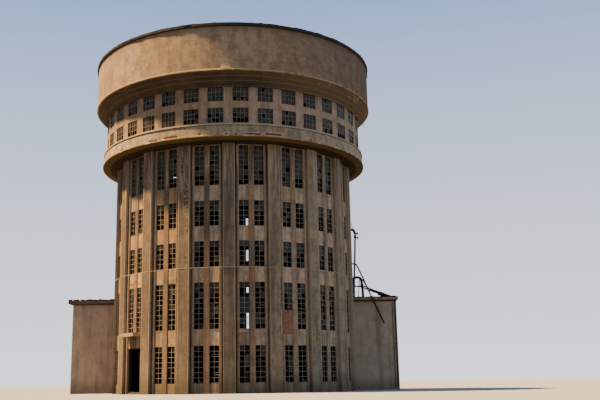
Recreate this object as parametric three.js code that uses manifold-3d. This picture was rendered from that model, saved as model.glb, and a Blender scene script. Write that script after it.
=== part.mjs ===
// Round water tower: a windowed shaft of 18 bays between concrete piers, an overhanging window
// gallery on a ring beam, a tank drum above it, and a low wing on each side.
// Millimetres, +Z up. The origin is on the ground, on the tower's axis.
// Compass angles run from -Y towards +X, so a wall at 0 degrees faces -Y and one at 90 faces +X.

import * as THREE from 'three';
import { mergeVertices } from 'three/addons/utils/BufferGeometryUtils.js';
import Module from 'manifold-3d';

const wasm = await Module();
wasm.setup();

// Clearance between neighbouring pieces
const GAP = 0.3;

// Shaft: 18 bays, each a flat wall between two piers
const BAY_COUNT = 18;
const BAY_STEP = (2 * Math.PI) / BAY_COUNT;
const WALL_FACE = 12050;
const WALL_THICKNESS = 400;
const SHAFT_TOP = 23120;
const BAY_HALF_WIDTH = 1196;
const MULLION_HALF_WIDTH = 260;
const MULLION_FACE = 12120;
const SHOULDER_WIDTH = 200;
const SHOULDER_FACE = 12200;
const PIER_HALF_WIDTH = 560;
const PIER_FACE = 12500;

// Shaft windows: a pair in each bay, in five rows
const WINDOW_INNER_EDGE = 270;
const WINDOW_OUTER_EDGE = 1180;
const ROWS = {
  ground: [930, 4250],
  tall: [5730, 10000],
  lower: [11450, 13850],
  middle: [15270, 17690],
  top: [19170, 23030],
};

// The entrance bay and the window that was widened downwards and half bricked up
const ENTRANCE_WALL = 16;
const DOORWAY_TOP = 4250;
const INFILL_WALL = 2;
const INFILL_BOTTOM = 5290;
const INFILL_TOP = 7450;
const INFILL_THICKNESS = 250;
const INFILL_PROUD = 20;
const LINTEL_HEIGHT = 130;

// Floors. Above the ground they are rings round an open well
const GROUND_FLOOR_TOP = 150;
const FLOOR_TOPS = [4850, 10500, 14350, 18200];
const FLOOR_THICKNESS = 250;
const WELL_RADIUS = 7600;
const GALLERY_FLOOR_TOP = 23550;
const GALLERY_FLOOR_RADIUS = 11710;

// Gallery: 36 flat wall faces on the ring beam, each with two windows one over the other
const GALLERY_FACES = 36;
const GALLERY_SEGMENTS = 6;
const GALLERY_FACE = 13600;
const GALLERY_THICKNESS = 300;
const GALLERY_WINDOW_WIDTH = 1500;
const GALLERY_ROWS = [[24790, 26250], [26910, 28300]];
const GALLERY_WINDOW_DEPTH = 600;
const GALLERY_TOP = 28310;

// Ring beam: a slab over the shaft's walls with a lower lip, and an upstand under the gallery
const RING_TOP = 24610;
const RING_SOFFIT_EDGE = 23330;
const RING_SOFFIT_START = PIER_FACE + 60;
const RING_FACE = 13900;
const RING_LIP = 14050;
const RING_LIP_HEIGHT = 120;
const RING_SHOULDER = 60;
const RING_CAP_REACH = 70;
const RING_CAP_HEIGHT = 100;
const UPSTAND_INSIDE = GALLERY_FACE - GALLERY_THICKNESS - 100;

// Corbel under the drum, as [out from the ledge's edge, up from the gallery's top]
const LEDGE_EDGE = GALLERY_FACE + 130;
const CORBEL_STEPS = [[0, 0], [0, 150], [-50, 190], [300, 470], [300, 540], [640, 820], [640, 890]];
const CORBEL_HEAD_HEIGHT = 60;

// Tank drum
const DRUM_FACE = 14780;
const DRUM_INSET = 110;
const DRUM_LIP = 14840;
const DRUM_LIP_HEIGHT = 110;
const DRUM_LIP_SLOPE = 40;
const DRUM_BOTTOM = 29560;
const DRUM_TOP = 33950;
const DRUM_THICKNESS = 250;
const TANK_FLOOR_THICKNESS = 300;
const CORNICE_START = DRUM_FACE + 50;
const CORNICE_REACH = 14920;
const CORNICE_SLOPE = 90;
const CORNICE_TOP = 34200;
const ROOF_EDGE = 14860;
const ROOF_EDGE_HEIGHT = 100;
const ROOF_RISE = 450;
const ROOF_CEILING_RISE = 300;
const ROOF_BEARING = 300;
const ROUND_SIDES = 60;

// Wings: low blocks on both sides, their front and rear walls in line with a pier
const WING_FRONT = 2000;
const WING_REAR = 9600;
const WING_WALL = 350;
const WING_HEIGHT = 9470;
const WING_ROOF_TOP = 9800;
const WING_EAVES_FRONT = 350;
const WING_EAVES_REAR = 300;
const RIGHT_WING = { end: 17370, eaves: 180 };
const LEFT_WING = { end: 17500, eaves: 450 };

// Canopy over the entrance
const CANOPY_BOTTOM = 5360;
const CANOPY_TOP = 5680;
const CANOPY_REACH = 950;
const CANOPY_SIDE_GAP = 10;

// The walls with a doorway from the shaft into a wing
const WING_DOORWAYS = [6, 13];

// Steel left on the right wing's roof. Tubes have flat sides and touch each other on them
const TUBE_SIDES = 8;
const FLAT = Math.cos(Math.PI / TUBE_SIDES);
const PIPE_RADIUS = 130;
const PIPE_X = 12890;
const PIPE_Y = 2500;
const PIPE_FRONT = PIPE_Y - PIPE_RADIUS * FLAT;
const MAST_RADIUS = 60;
const MAST_X = 12980;
const MAST_Y = PIPE_FRONT - MAST_RADIUS * FLAT - GAP;
const MAST_FRONT = MAST_Y - MAST_RADIUS * FLAT;
const SPAR_RADIUS = 55;

// Overshoot of a cutting solid past what it cuts
const REACH = 100;

const COLOURS = {
  render: { color: 0x8a7862, roughness: 0.92, metalness: 0 },
  concrete: { color: 0x9a8f7c, roughness: 0.95, metalness: 0 },
  soffit: { color: 0x3d3220, roughness: 0.95, metalness: 0 },
  slab: { color: 0x6d6a64, roughness: 0.95, metalness: 0 },
  cap: { color: 0x34312c, roughness: 0.9, metalness: 0 },
  brick: { color: 0x6e4634, roughness: 0.95, metalness: 0 },
  steel: { color: 0x33302d, roughness: 0.75, metalness: 0.6 },
};

const tower = new THREE.Group();

function addMesh(name, geometry, colours, angle = 0) {
  const mesh = new THREE.Mesh(geometry, new THREE.MeshStandardMaterial(colours));
  mesh.name = name;
  mesh.rotation.z = angle;
  tower.add(mesh);
}

// A plain geometry as a solid for cutting
function toSolid(geometry) {
  const bare = geometry.clone();
  bare.deleteAttribute('normal');
  bare.deleteAttribute('uv');
  const merged = mergeVertices(bare, 0.001);
  return new wasm.Manifold(new wasm.Mesh({
    numProp: 3,
    vertProperties: new Float32Array(merged.attributes.position.array),
    triVerts: new Uint32Array(merged.index.array),
  }));
}

function toGeometry(solid) {
  const mesh = solid.getMesh();
  const geometry = new THREE.BufferGeometry();
  geometry.setAttribute('position', new THREE.BufferAttribute(new Float32Array(mesh.vertProperties), 3));
  geometry.setIndex(new THREE.BufferAttribute(new Uint32Array(mesh.triVerts), 1));
  geometry.computeVertexNormals();
  return geometry;
}

// A point given by its distance along a wall and out from the axis, on a wall at an angle
function planPoint([along, out], angle) {
  const x = along * Math.cos(angle) + out * Math.sin(angle);
  const y = along * Math.sin(angle) - out * Math.cos(angle);
  return [x, y];
}

// A plan outline, [x, y] points, raised from one level to another, with an outline cut out if given
function prism(points, bottom, top, hole = null) {
  const outline = (corners) => corners.map(([x, y]) => new THREE.Vector2(x, y));
  const shape = new THREE.Shape(outline(points));
  if (hole) shape.holes.push(new THREE.Path(outline(hole)));
  const geometry = new THREE.ExtrudeGeometry(shape, { depth: top - bottom, bevelEnabled: false });
  geometry.translate(0, 0, bottom);
  return geometry;
}

function box(low, high) {
  const geometry = new THREE.BoxGeometry(high[0] - low[0], high[1] - low[1], high[2] - low[2]);
  geometry.translate((low[0] + high[0]) / 2, (low[1] + high[1]) / 2, (low[2] + high[2]) / 2);
  return geometry;
}

// A profile of [radius, height] points, anticlockwise, turned about the tower's axis.
// One that starts on the axis ends on it too
function turned(profile) {
  const closed = profile[0][0] > 0 ? [...profile, profile[0]] : profile;
  const points = closed.map(([radius, height]) => new THREE.Vector2(radius, height));
  const geometry = new THREE.LatheGeometry(points, ROUND_SIDES);
  geometry.rotateX(Math.PI / 2);
  return geometry;
}

// A round outline whose corners match those of the turned pieces
function circle(radius) {
  const outline = [];
  for (let i = 0; i < ROUND_SIDES; i += 1) {
    outline.push(planPoint([0, radius], (i / ROUND_SIDES) * 2 * Math.PI));
  }
  return outline;
}

// A round bar or pipe along a path of [x, y, z] points
function tube(points, radius, steps) {
  const path = new THREE.CatmullRomCurve3(points.map((p) => new THREE.Vector3(...p)), false, 'chordal');
  const section = new THREE.Shape();
  for (let i = 0; i < TUBE_SIDES; i += 1) {
    const turn = ((i + 0.5) / TUBE_SIDES) * 2 * Math.PI;
    const x = radius * Math.cos(turn);
    const y = radius * Math.sin(turn);
    if (i === 0) section.moveTo(x, y);
    else section.lineTo(x, y);
  }
  return new THREE.ExtrudeGeometry(section, { extrudePath: path, steps, bevelEnabled: false });
}

// One half of a pier's face in the pier's own frame, from the bay's corner to the pier's middle
function halfPier(grow) {
  const half = BAY_STEP / 2;
  const edge = BAY_HALF_WIDTH * Math.cos(half) - WALL_FACE * Math.sin(half);
  const back = WALL_FACE * Math.cos(half) + BAY_HALF_WIDTH * Math.sin(half);
  return [
    [edge - grow, back + grow],
    [edge - grow, SHOULDER_FACE + grow],
    [edge + SHOULDER_WIDTH + grow, SHOULDER_FACE + grow],
    [edge + SHOULDER_WIDTH + grow, back + grow],
    [-PIER_HALF_WIDTH - grow, back + grow],
    [-PIER_HALF_WIDTH - grow, PIER_FACE + grow],
  ];
}

const mirrored = (points) => points.map(([x, y]) => [-x, y]).reverse();

// The right half of a bay's outer face, from its middle to the middle of the pier
function halfBayFace(grow) {
  const half = BAY_STEP / 2;
  const mullionEdge = MULLION_HALF_WIDTH + grow;
  const mullion = [[mullionEdge, MULLION_FACE + grow], [mullionEdge, WALL_FACE + grow]];
  const toBayFrame = ([along, out]) => [
    along * Math.cos(half) + out * Math.sin(half),
    out * Math.cos(half) - along * Math.sin(half),
  ];
  return [...mullion, ...halfPier(grow).map(toBayFrame)];
}

function bayFace(grow) {
  const right = halfBayFace(grow);
  return [...mirrored(right), ...right];
}

// The whole shaft's outer outline, swollen a little, for cutting what meets it
function shaftEnvelope(grow, bottom, top) {
  const outline = [];
  for (let i = 0; i < BAY_COUNT; i += 1) {
    const angle = (i + 0.5) * BAY_STEP;
    outline.push(...bayFace(grow).map((point) => planPoint(point, angle)));
  }
  return toSolid(prism(outline, bottom, top));
}

// Corners of the shaft's inner face, as [along, out] in the bay's frame
const innerCorner = [(BAY_HALF_WIDTH * (WALL_FACE - WALL_THICKNESS)) / WALL_FACE, WALL_FACE - WALL_THICKNESS];

function bayOutline() {
  const half = BAY_STEP / 2;
  const joint = (out) => [out * Math.sin(half) - (GAP / 2) * Math.cos(half), out * Math.cos(half)];
  const pierBack = Math.hypot(...innerCorner) * Math.cos(half - Math.atan2(...innerCorner));
  const right = [...halfBayFace(0), joint(PIER_FACE), joint(pierBack), innerCorner];
  return [...mirrored(right), ...right].map(([along, out]) => [along, -out]);
}

// Every hole of a bay, as [left, right, bottom, top]
function bayHoles(wall) {
  const holes = [];
  const doorway = wall === ENTRANCE_WALL || WING_DOORWAYS.includes(wall);
  for (const [row, [bottom, top]] of Object.entries(ROWS)) {
    if (doorway && row === 'ground') {
      holes.push([-WINDOW_OUTER_EDGE, WINDOW_OUTER_EDGE, GROUND_FLOOR_TOP, DOORWAY_TOP]);
      continue;
    }
    for (const side of [-1, 1]) {
      const infilled = wall === INFILL_WALL && row === 'tall' && side === -1;
      const edges = [side * WINDOW_INNER_EDGE, side * WINDOW_OUTER_EDGE].sort((a, b) => a - b);
      holes.push([...edges, infilled ? INFILL_BOTTOM : bottom, top]);
    }
  }
  return holes;
}

function shaftWall(wall) {
  let solid = toSolid(prism(bayOutline(), 0, SHAFT_TOP));
  const deep = WALL_FACE - 2 * WALL_THICKNESS;
  for (const [left, right, bottom, top] of bayHoles(wall)) {
    solid = solid.subtract(toSolid(box([left, -PIER_FACE, bottom], [right, -deep, top])));
  }
  return toGeometry(solid);
}

function addShaftWalls() {
  for (let wall = 1; wall <= BAY_COUNT; wall += 1) {
    const name = `shaft_wall_${String(wall).padStart(2, '0')}`;
    addMesh(name, shaftWall(wall), COLOURS.render, (wall - 0.5) * BAY_STEP);
  }
}

// The shaft's many-sided inner face, as a floor meets it
function shaftFloorOutline() {
  const outline = [];
  const scale = (innerCorner[1] - GAP) / innerCorner[1];
  for (let i = 0; i < BAY_COUNT; i += 1) {
    const angle = (i + 0.5) * BAY_STEP;
    for (const side of [-1, 1]) {
      outline.push(planPoint([side * innerCorner[0] * scale, innerCorner[1] * scale], angle));
    }
  }
  return outline;
}

function addFloors() {
  const outline = shaftFloorOutline();
  const well = circle(WELL_RADIUS);
  addMesh('ground_floor', prism(outline, 0, GROUND_FLOOR_TOP - GAP), COLOURS.slab);
  FLOOR_TOPS.forEach((top, i) => {
    addMesh(`floor_${i + 1}`, prism(outline, top - FLOOR_THICKNESS, top, well), COLOURS.slab);
  });
  const edge = circle(GALLERY_FLOOR_RADIUS - GAP);
  const underside = GALLERY_FLOOR_TOP - FLOOR_THICKNESS;
  addMesh('gallery_floor', prism(edge, underside, GALLERY_FLOOR_TOP, well), COLOURS.slab);
}

function addRingBeam() {
  const bottom = SHAFT_TOP + GAP;
  addMesh('ring_beam', turned([
    [GALLERY_FLOOR_RADIUS, bottom],
    [RING_SOFFIT_START, bottom],
    [RING_LIP - RING_SHOULDER, RING_SOFFIT_EDGE],
    [RING_LIP, RING_SOFFIT_EDGE + RING_SHOULDER / 3],
    [RING_LIP, RING_SOFFIT_EDGE + RING_LIP_HEIGHT],
    [RING_FACE + RING_SHOULDER, RING_SOFFIT_EDGE + RING_LIP_HEIGHT + RING_SHOULDER],
    [RING_FACE, RING_TOP - RING_CAP_HEIGHT - RING_SHOULDER / 3],
    [RING_FACE + RING_CAP_REACH, RING_TOP - RING_CAP_HEIGHT],
    [RING_FACE + RING_CAP_REACH, RING_TOP],
    [UPSTAND_INSIDE, RING_TOP],
    [UPSTAND_INSIDE, GALLERY_FLOOR_TOP],
    [GALLERY_FLOOR_RADIUS, GALLERY_FLOOR_TOP],
  ]), COLOURS.concrete);
}

// A sixth of the gallery's wall
function gallerySegment() {
  const step = (2 * Math.PI) / GALLERY_FACES;
  const faces = GALLERY_FACES / GALLERY_SEGMENTS;
  const inner = [];
  const outer = [];
  const stretch = 1 / Math.cos(step / 2);
  for (let i = 0; i <= faces; i += 1) {
    let angle = (i - faces / 2) * step;
    if (i === 0) angle += GAP / 2 / GALLERY_FACE;
    if (i === faces) angle -= GAP / 2 / GALLERY_FACE;
    outer.push(planPoint([0, GALLERY_FACE * stretch], angle));
    inner.push(planPoint([0, (GALLERY_FACE - GALLERY_THICKNESS) * stretch], angle));
  }
  let solid = toSolid(prism([...outer, ...inner.reverse()], RING_TOP + GAP, GALLERY_TOP));
  for (let i = 0; i < faces; i += 1) {
    for (const [bottom, top] of GALLERY_ROWS) {
      const half = GALLERY_WINDOW_WIDTH / 2;
      const back = GALLERY_FACE - GALLERY_WINDOW_DEPTH;
      const hole = box([-half, -GALLERY_FACE - REACH, bottom], [half, -back, top]);
      hole.rotateZ((i + 0.5 - faces / 2) * step);
      solid = solid.subtract(toSolid(hole));
    }
  }
  return toGeometry(solid);
}

function addGalleryWalls() {
  const segment = gallerySegment();
  const step = (2 * Math.PI) / GALLERY_SEGMENTS;
  for (let i = 0; i < GALLERY_SEGMENTS; i += 1) {
    addMesh(`gallery_wall_${i + 1}`, segment.clone(), COLOURS.render, i * step);
  }
}

// The stepped cone that widens from the gallery's ledge to the drum
function addDrumCorbel() {
  const bottom = GALLERY_TOP + GAP;
  const head = DRUM_FACE - DRUM_INSET;
  addMesh('drum_corbel', turned([
    [UPSTAND_INSIDE, bottom],
    ...CORBEL_STEPS.map(([out, up]) => [LEDGE_EDGE + out, bottom + up]),
    [head, DRUM_BOTTOM - CORBEL_HEAD_HEIGHT],
    [head, DRUM_BOTTOM],
    [UPSTAND_INSIDE, DRUM_BOTTOM],
  ]), COLOURS.soffit);
}

function addTank() {
  const bottom = DRUM_BOTTOM + GAP;
  const inside = DRUM_FACE - DRUM_THICKNESS;
  addMesh('tank_wall', turned([
    [inside, bottom],
    [DRUM_LIP, bottom],
    [DRUM_LIP, bottom + DRUM_LIP_HEIGHT],
    [DRUM_FACE, bottom + DRUM_LIP_HEIGHT + DRUM_LIP_SLOPE],
    [DRUM_FACE, DRUM_TOP],
    [inside, DRUM_TOP],
  ]), COLOURS.concrete);

  addMesh('tank_floor', prism(circle(inside - GAP), bottom, bottom + TANK_FLOOR_THICKNESS), COLOURS.slab);

  const corniceBottom = DRUM_TOP + GAP;
  addMesh('cornice', turned([
    [inside, corniceBottom],
    [CORNICE_START, corniceBottom],
    [CORNICE_REACH, corniceBottom + CORNICE_SLOPE],
    [CORNICE_REACH, CORNICE_TOP],
    [inside, CORNICE_TOP],
  ]), COLOURS.cap);

  const eaves = CORNICE_TOP + GAP;
  const top = eaves + ROOF_EDGE_HEIGHT;
  addMesh('tank_roof', turned([
    [0, eaves + ROOF_CEILING_RISE],
    [inside - ROOF_BEARING, eaves],
    [ROOF_EDGE, eaves],
    [ROOF_EDGE, top],
    [0, top + ROOF_RISE],
  ]), COLOURS.cap);
}

const largestPiece = (solid) => solid.decompose().sort((a, b) => b.volume() - a.volume())[0];

// Where a wing wall at a given depth meets the face of the pier it is in line with
function pierFaceX(y, pier) {
  const angle = pier * BAY_STEP - Math.PI / 2;
  return (PIER_FACE + GAP - y * Math.sin(angle)) / Math.cos(angle);
}

function wingWalls({ end }) {
  const frontInside = WING_FRONT + WING_WALL;
  const rearInside = WING_REAR - WING_WALL;
  return prism([
    [pierFaceX(WING_FRONT, 5), WING_FRONT],
    [end, WING_FRONT],
    [end, WING_REAR],
    [pierFaceX(WING_REAR, 7), WING_REAR],
    [pierFaceX(rearInside, 7), rearInside],
    [end - WING_WALL, rearInside],
    [end - WING_WALL, frontInside],
    [pierFaceX(frontInside, 5), frontInside],
  ], 0, WING_HEIGHT);
}

// A slab from the tower's axis outwards, cut to the outline of the shaft
function wingSlab(front, rear, end, bottom, top) {
  const slab = toSolid(box([WALL_FACE / 2, front, bottom], [end, rear, top]));
  return largestPiece(slab.subtract(shaftEnvelope(GAP, bottom - REACH, top + REACH)));
}

function wingRoof({ end, eaves }) {
  return wingSlab(
    WING_FRONT - WING_EAVES_FRONT,
    WING_REAR + WING_EAVES_REAR,
    end + eaves,
    WING_HEIGHT + GAP,
    WING_ROOF_TOP,
  );
}

function wingFloor({ end }) {
  const inset = WING_WALL + GAP;
  return wingSlab(WING_FRONT + inset, WING_REAR - inset, end - inset, 0, GROUND_FLOOR_TOP);
}

function wingPieces(wing) {
  return [
    ['walls', toSolid(wingWalls(wing)), COLOURS.render],
    ['roof', wingRoof(wing), COLOURS.slab],
    ['floor', wingFloor(wing), COLOURS.slab],
  ];
}

function addWings() {
  for (const [piece, solid, colours] of wingPieces(RIGHT_WING)) {
    addMesh(`right_wing_${piece}`, toGeometry(solid), colours);
  }
  for (const [piece, solid, colours] of wingPieces(LEFT_WING)) {
    addMesh(`left_wing_${piece}`, toGeometry(solid.mirror([1, 0, 0])), colours);
  }
}

function addEntranceCanopy() {
  const half = BAY_HALF_WIDTH - CANOPY_SIDE_GAP;
  const mullion = MULLION_HALF_WIDTH + GAP;
  const angle = (ENTRANCE_WALL - 0.5) * BAY_STEP;
  const slab = toSolid(box(
    [-half, -WALL_FACE - CANOPY_REACH, CANOPY_BOTTOM],
    [half, -WALL_FACE - GAP, CANOPY_TOP],
  ));
  const notch = toSolid(box(
    [-mullion, -MULLION_FACE - GAP, CANOPY_BOTTOM - REACH],
    [mullion, -WALL_FACE + REACH, CANOPY_TOP + REACH],
  ));
  addMesh('entrance_canopy', toGeometry(slab.subtract(notch)), COLOURS.concrete, angle);
}

// Brickwork in the lower half of one tall window, under a flat lintel
function addBrickInfill() {
  const left = -WINDOW_OUTER_EDGE + GAP;
  const right = -WINDOW_INNER_EDGE - GAP;
  const front = -WALL_FACE - INFILL_PROUD;
  const back = front + INFILL_THICKNESS;
  const angle = (INFILL_WALL - 0.5) * BAY_STEP;
  const lintelBottom = INFILL_TOP + GAP;
  const brickwork = box([left, front, INFILL_BOTTOM + GAP], [right, back, INFILL_TOP]);
  addMesh('brick_infill', brickwork, COLOURS.brick, angle);
  const lintel = box([left, front - INFILL_PROUD, lintelBottom], [right, back, lintelBottom + LINTEL_HEIGHT]);
  addMesh('infill_lintel', lintel, COLOURS.steel, angle);
}

// A tube over the right wing's roof, cut off square on the roof and on the shaft
function roofTube(points, radius, steps) {
  const roof = box(
    [WALL_FACE, WING_FRONT - WING_EAVES_FRONT - GAP, WING_HEIGHT],
    [RIGHT_WING.end + RIGHT_WING.eaves + REACH, WING_REAR, WING_ROOF_TOP + GAP],
  );
  const shaft = shaftEnvelope(GAP, WING_ROOF_TOP, SHAFT_TOP);
  return largestPiece(toSolid(tube(points, radius, steps)).subtract(toSolid(roof)).subtract(shaft));
}

// A mast that leans away from the shaft a little, with a bent head held at the shaft
function addRoofMast() {
  const path = [
    [-85, WING_ROOF_TOP - REACH],
    [20, 12000],
    [135, 14200],
    [225, 16100],
    [245, 16700],
    [215, 17030],
    [90, 17230],
    [-80, 17300],
    [-780, 17350],
  ].map(([out, z]) => [MAST_X + out, MAST_Y, z]);
  addMesh('roof_mast', toGeometry(roofTube(path, MAST_RADIUS, 28)), COLOURS.steel);
}

// A wide pipe that rises from the right wing's roof, bends over and comes down again
function addRoofPipe() {
  const path = [
    [0, WING_ROOF_TOP - REACH],
    [0, 11560],
    [60, 11850],
    [250, 11980],
    [560, 11980],
    [800, 11830],
    [920, 11400],
    [970, 10700],
    [1000, WING_ROOF_TOP - REACH],
  ].map(([out, z]) => [PIPE_X + out, PIPE_Y, z]);
  addMesh('roof_pipe', toGeometry(roofTube(path, PIPE_RADIUS, 34)), COLOURS.steel);
}

// A slim tube over the roof that bears on the flat front of an upright. It is notched there.
// The path's points are [right of the mast, forward of the bearing, height]
function bearingTube(path, front, steps) {
  const axis = front - SPAR_RADIUS * FLAT;
  const points = path.map(([out, forward, z]) => [MAST_X + out, axis - forward, z]);
  const upright = box([WALL_FACE, front - GAP, WING_ROOF_TOP], [RIGHT_WING.end, WING_REAR, SHAFT_TOP]);
  return toGeometry(largestPiece(roofTube(points, SPAR_RADIUS, steps).subtract(toSolid(upright))));
}

// A fallen rail that sags from the wide pipe to the end of the right wing's roof
function addFallenRail() {
  addMesh('fallen_rail', bearingTube([
    [640, 0, 11220],
    [880, 0, 10920],
    [1530, 20, 10620],
    [2250, 40, 10330],
    [2970, 40, 10120],
    [3900, 20, WING_ROOF_TOP + SPAR_RADIUS * FLAT],
  ], PIPE_FRONT, 18), COLOURS.steel);
}

// A spar that leaves the shaft, bears on the mast and leans down over the roof's front edge
function addLeaningSpar() {
  const bearing = MAST_FRONT - SPAR_RADIUS * FLAT;
  const overEdge = bearing - (WING_FRONT - WING_EAVES_FRONT) + SPAR_RADIUS * FLAT;
  const bend = [210, 0, 13400];
  const edge = [1680, overEdge, WING_ROOF_TOP];
  const along = (t) => bend.map((from, i) => from + (edge[i] - from) * t);
  addMesh('leaning_spar', bearingTube([
    [-780, 0, 13440],
    [-200, 0, 13440],
    [110, 0, 13440],
    along(0.05),
    along(0.5),
    edge,
    along(1.8),
  ], MAST_FRONT, 24), COLOURS.steel);
}

addFloors();
addShaftWalls();
addRingBeam();
addGalleryWalls();
addDrumCorbel();
addTank();
addWings();
addEntranceCanopy();
addBrickInfill();
addRoofMast();
addRoofPipe();
addFallenRail();
addLeaningSpar();

export default tower;
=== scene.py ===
import math
import random

import bmesh
import bpy
from mathutils import Matrix, Vector, noise


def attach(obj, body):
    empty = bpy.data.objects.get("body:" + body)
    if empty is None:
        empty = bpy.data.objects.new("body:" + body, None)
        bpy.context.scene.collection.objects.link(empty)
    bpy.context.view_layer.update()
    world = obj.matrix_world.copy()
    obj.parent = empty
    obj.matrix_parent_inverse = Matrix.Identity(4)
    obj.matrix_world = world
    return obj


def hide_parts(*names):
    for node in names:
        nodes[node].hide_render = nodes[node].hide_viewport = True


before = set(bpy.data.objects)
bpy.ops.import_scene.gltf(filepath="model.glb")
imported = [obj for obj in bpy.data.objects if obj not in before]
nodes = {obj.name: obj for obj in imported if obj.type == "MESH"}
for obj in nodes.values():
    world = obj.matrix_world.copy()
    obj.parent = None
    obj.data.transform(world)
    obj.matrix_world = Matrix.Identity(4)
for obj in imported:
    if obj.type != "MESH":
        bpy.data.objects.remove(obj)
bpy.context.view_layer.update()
print("frame loaded,", len(nodes), "nodes")


# Wires up one shader tree: each call adds nodes and gives back what comes out of them. A value that is a word
# stands for the paint of that name, or for what a shared group gives under that name
class Wiring:
    def __init__(self, tree, material=None, paint={}):
        self.tree = tree
        self.material = material
        self.named = dict(paint)

    def add(self, kind, **settings):
        node = self.tree.nodes.new(kind)
        for name, value in settings.items():
            setattr(node, name, value)
        return node

    # Links a socket to what comes out of a node, or sets its value; a colour is red, green and blue
    def feed(self, socket, value):
        if isinstance(value, str):
            value = self.named[value]
        if isinstance(value, bpy.types.NodeSocket):
            self.tree.links.new(value, socket)
        else:
            socket.default_value = (*value, 1) if socket.type == "RGBA" else value

    def feedAll(self, sockets, values):
        for name, value in values.items():
            self.feed(sockets[name], value)

    def maths(self, operation, first, second=0.0):
        node = self.add("ShaderNodeMath", operation=operation)
        self.feed(node.inputs[0], first)
        self.feed(node.inputs[1], second)
        return node.outputs[0]

    def times(self, *masks):
        product = masks[0]
        for mask in masks[1:]:
            product = self.maths("MULTIPLY", product, mask)
        return product

    def plus(self, first, second, share):
        return self.maths("ADD", first, self.times(second, share))

    # 0 at low, 1 at high, with soft ends
    def fade(self, value, low, high):
        node = self.add("ShaderNodeMapRange", interpolation_type="SMOOTHSTEP")
        self.feedAll(node.inputs, {"Value": value, "From Min": low, "From Max": high})
        return node.outputs["Result"]

    # 1 on a line at a value, fading to 0 at half the line's width
    def line(self, value, middle, halfWidth):
        away = self.maths("ABSOLUTE", self.maths("SUBTRACT", value, middle))
        return self.fade(away, halfWidth, halfWidth * 0.4)

    def tint(self, mask, under, over):
        node = self.add("ShaderNodeMix", data_type="RGBA")
        self.feed(node.inputs[0], mask)
        self.feed(node.inputs[6], under)
        self.feed(node.inputs[7], over)
        return node.outputs[2]

    # Lays coats over a base: each is a paint, the masks where it lies and its strength
    def coats(self, base, *layers):
        for paint, *masks in layers:
            base = self.tint(self.times(*masks), base, paint)
        return base

    def speckle(self, vector, scale, detail, rough=0.55):
        node = self.add("ShaderNodeTexNoise")
        self.feedAll(node.inputs, {"Vector": vector, "Scale": scale, "Detail": detail, "Roughness": rough})
        return node.outputs["Fac"]

    def stretch(self, vector, scale, shift=(0, 0, 0)):
        node = self.add("ShaderNodeMapping")
        self.feedAll(node.inputs, {"Vector": vector, "Scale": scale, "Location": shift})
        return node.outputs["Vector"]

    # Soft ovals on the unrolled wall, 1 in their middles: each an angle, a height and two half sizes
    def ovals(self, unrolled, places, radius):
        strongest = 0.0
        for angle, height, halfWidth, halfHeight in places:
            shift = (-math.radians(angle) * radius / halfWidth, -height / halfHeight, 0)
            away = self.add("ShaderNodeVectorMath", operation="LENGTH")
            self.feed(away.inputs[0], self.stretch(unrolled, (1 / halfWidth, 1 / halfHeight, 0), shift))
            strongest = self.maths("MAXIMUM", strongest, self.fade(away.outputs["Value"], 1.0, 0.4))
        return strongest

    def objectPlace(self):
        return self.add("ShaderNodeTexCoord").outputs["Object"]

    # How far the spot is broken away, as stored on the worn pieces
    def spall(self):
        return self.add("ShaderNodeAttribute", attribute_name="spall").outputs["Fac"]

    # The same with ragged rims
    def breaks(self):
        return self.plus(self.spall(), self.maths("SUBTRACT", "Grain", 0.5), 0.9)

    def group(self, tree, values):
        node = self.add("ShaderNodeGroup", node_tree=tree)
        self.feedAll(node.inputs, values)
        self.named.update(node.outputs.items())

    def place(self, roundAt=12.5, parts=18):
        self.group(towerPlace, {"Round At": roundAt, "Parts": parts})

    def weather(self, streak, stain, grain):
        self.group(weathering, {"Streak Scale": streak, "Stain Scale": stain, "Grain Scale": grain})

    def boards(self, roundAt, length, height):
        self.group(boardMarks, {"Round At": roundAt, "Board Length": length, "Board Height": height})


# Starts a shader group: its tree, its wiring and its own sockets
def newGroup(name, inputs, values, vectors=()):
    tree = bpy.data.node_groups.new(name, "ShaderNodeTree")
    for title, start in inputs.items():
        tree.interface.new_socket(title, in_out="INPUT", socket_type="NodeSocketFloat").default_value = start
    for title in values:
        tree.interface.new_socket(title, in_out="OUTPUT", socket_type="NodeSocketFloat")
    for title in vectors:
        tree.interface.new_socket(title, in_out="OUTPUT", socket_type="NodeSocketVector")
    wiring = Wiring(tree)
    return tree, wiring, wiring.add("NodeGroupInput").outputs, wiring.add("NodeGroupOutput").inputs


# Where a point is on the round tower: its radius, up, across from the nearest joint between equal parts, out
# along the flat part that it is on, to which side, and unrolled round the tower in metres
def makeTowerPlace():
    tree, w, given, out = newGroup("towerPlace", {"Round At": 12.5, "Parts": 18.0},
                                   ("Radius", "Up", "Across", "Out", "Side"), ("Unrolled",))
    split = w.add("ShaderNodeSeparateXYZ")
    w.feed(split.inputs[0], w.objectPlace())
    x, y, z = split.outputs
    radius = w.maths("SQRT", w.maths("ADD", w.times(x, x), w.times(y, y)))
    angle = w.maths("ARCTAN2", x, w.times(y, -1.0))
    share = w.maths("PINGPONG", w.times(angle, given["Parts"], 1 / (2 * math.pi)), 0.5)
    across = w.times(w.maths("DIVIDE", share, given["Parts"]), radius, 2 * math.pi)
    offMiddle = w.times(w.maths("DIVIDE", w.maths("SUBTRACT", 0.5, share), given["Parts"]), 2 * math.pi)
    flat = w.add("ShaderNodeCombineXYZ")
    w.feed(flat.inputs[0], w.times(angle, given["Round At"]))
    w.feed(flat.inputs[1], z)
    w.feedAll(out, {"Radius": radius, "Up": z, "Across": across, "Side": x, "Unrolled": flat.outputs[0],
                    "Out": w.times(radius, w.maths("COSINE", offMiddle))})
    return tree


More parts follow.
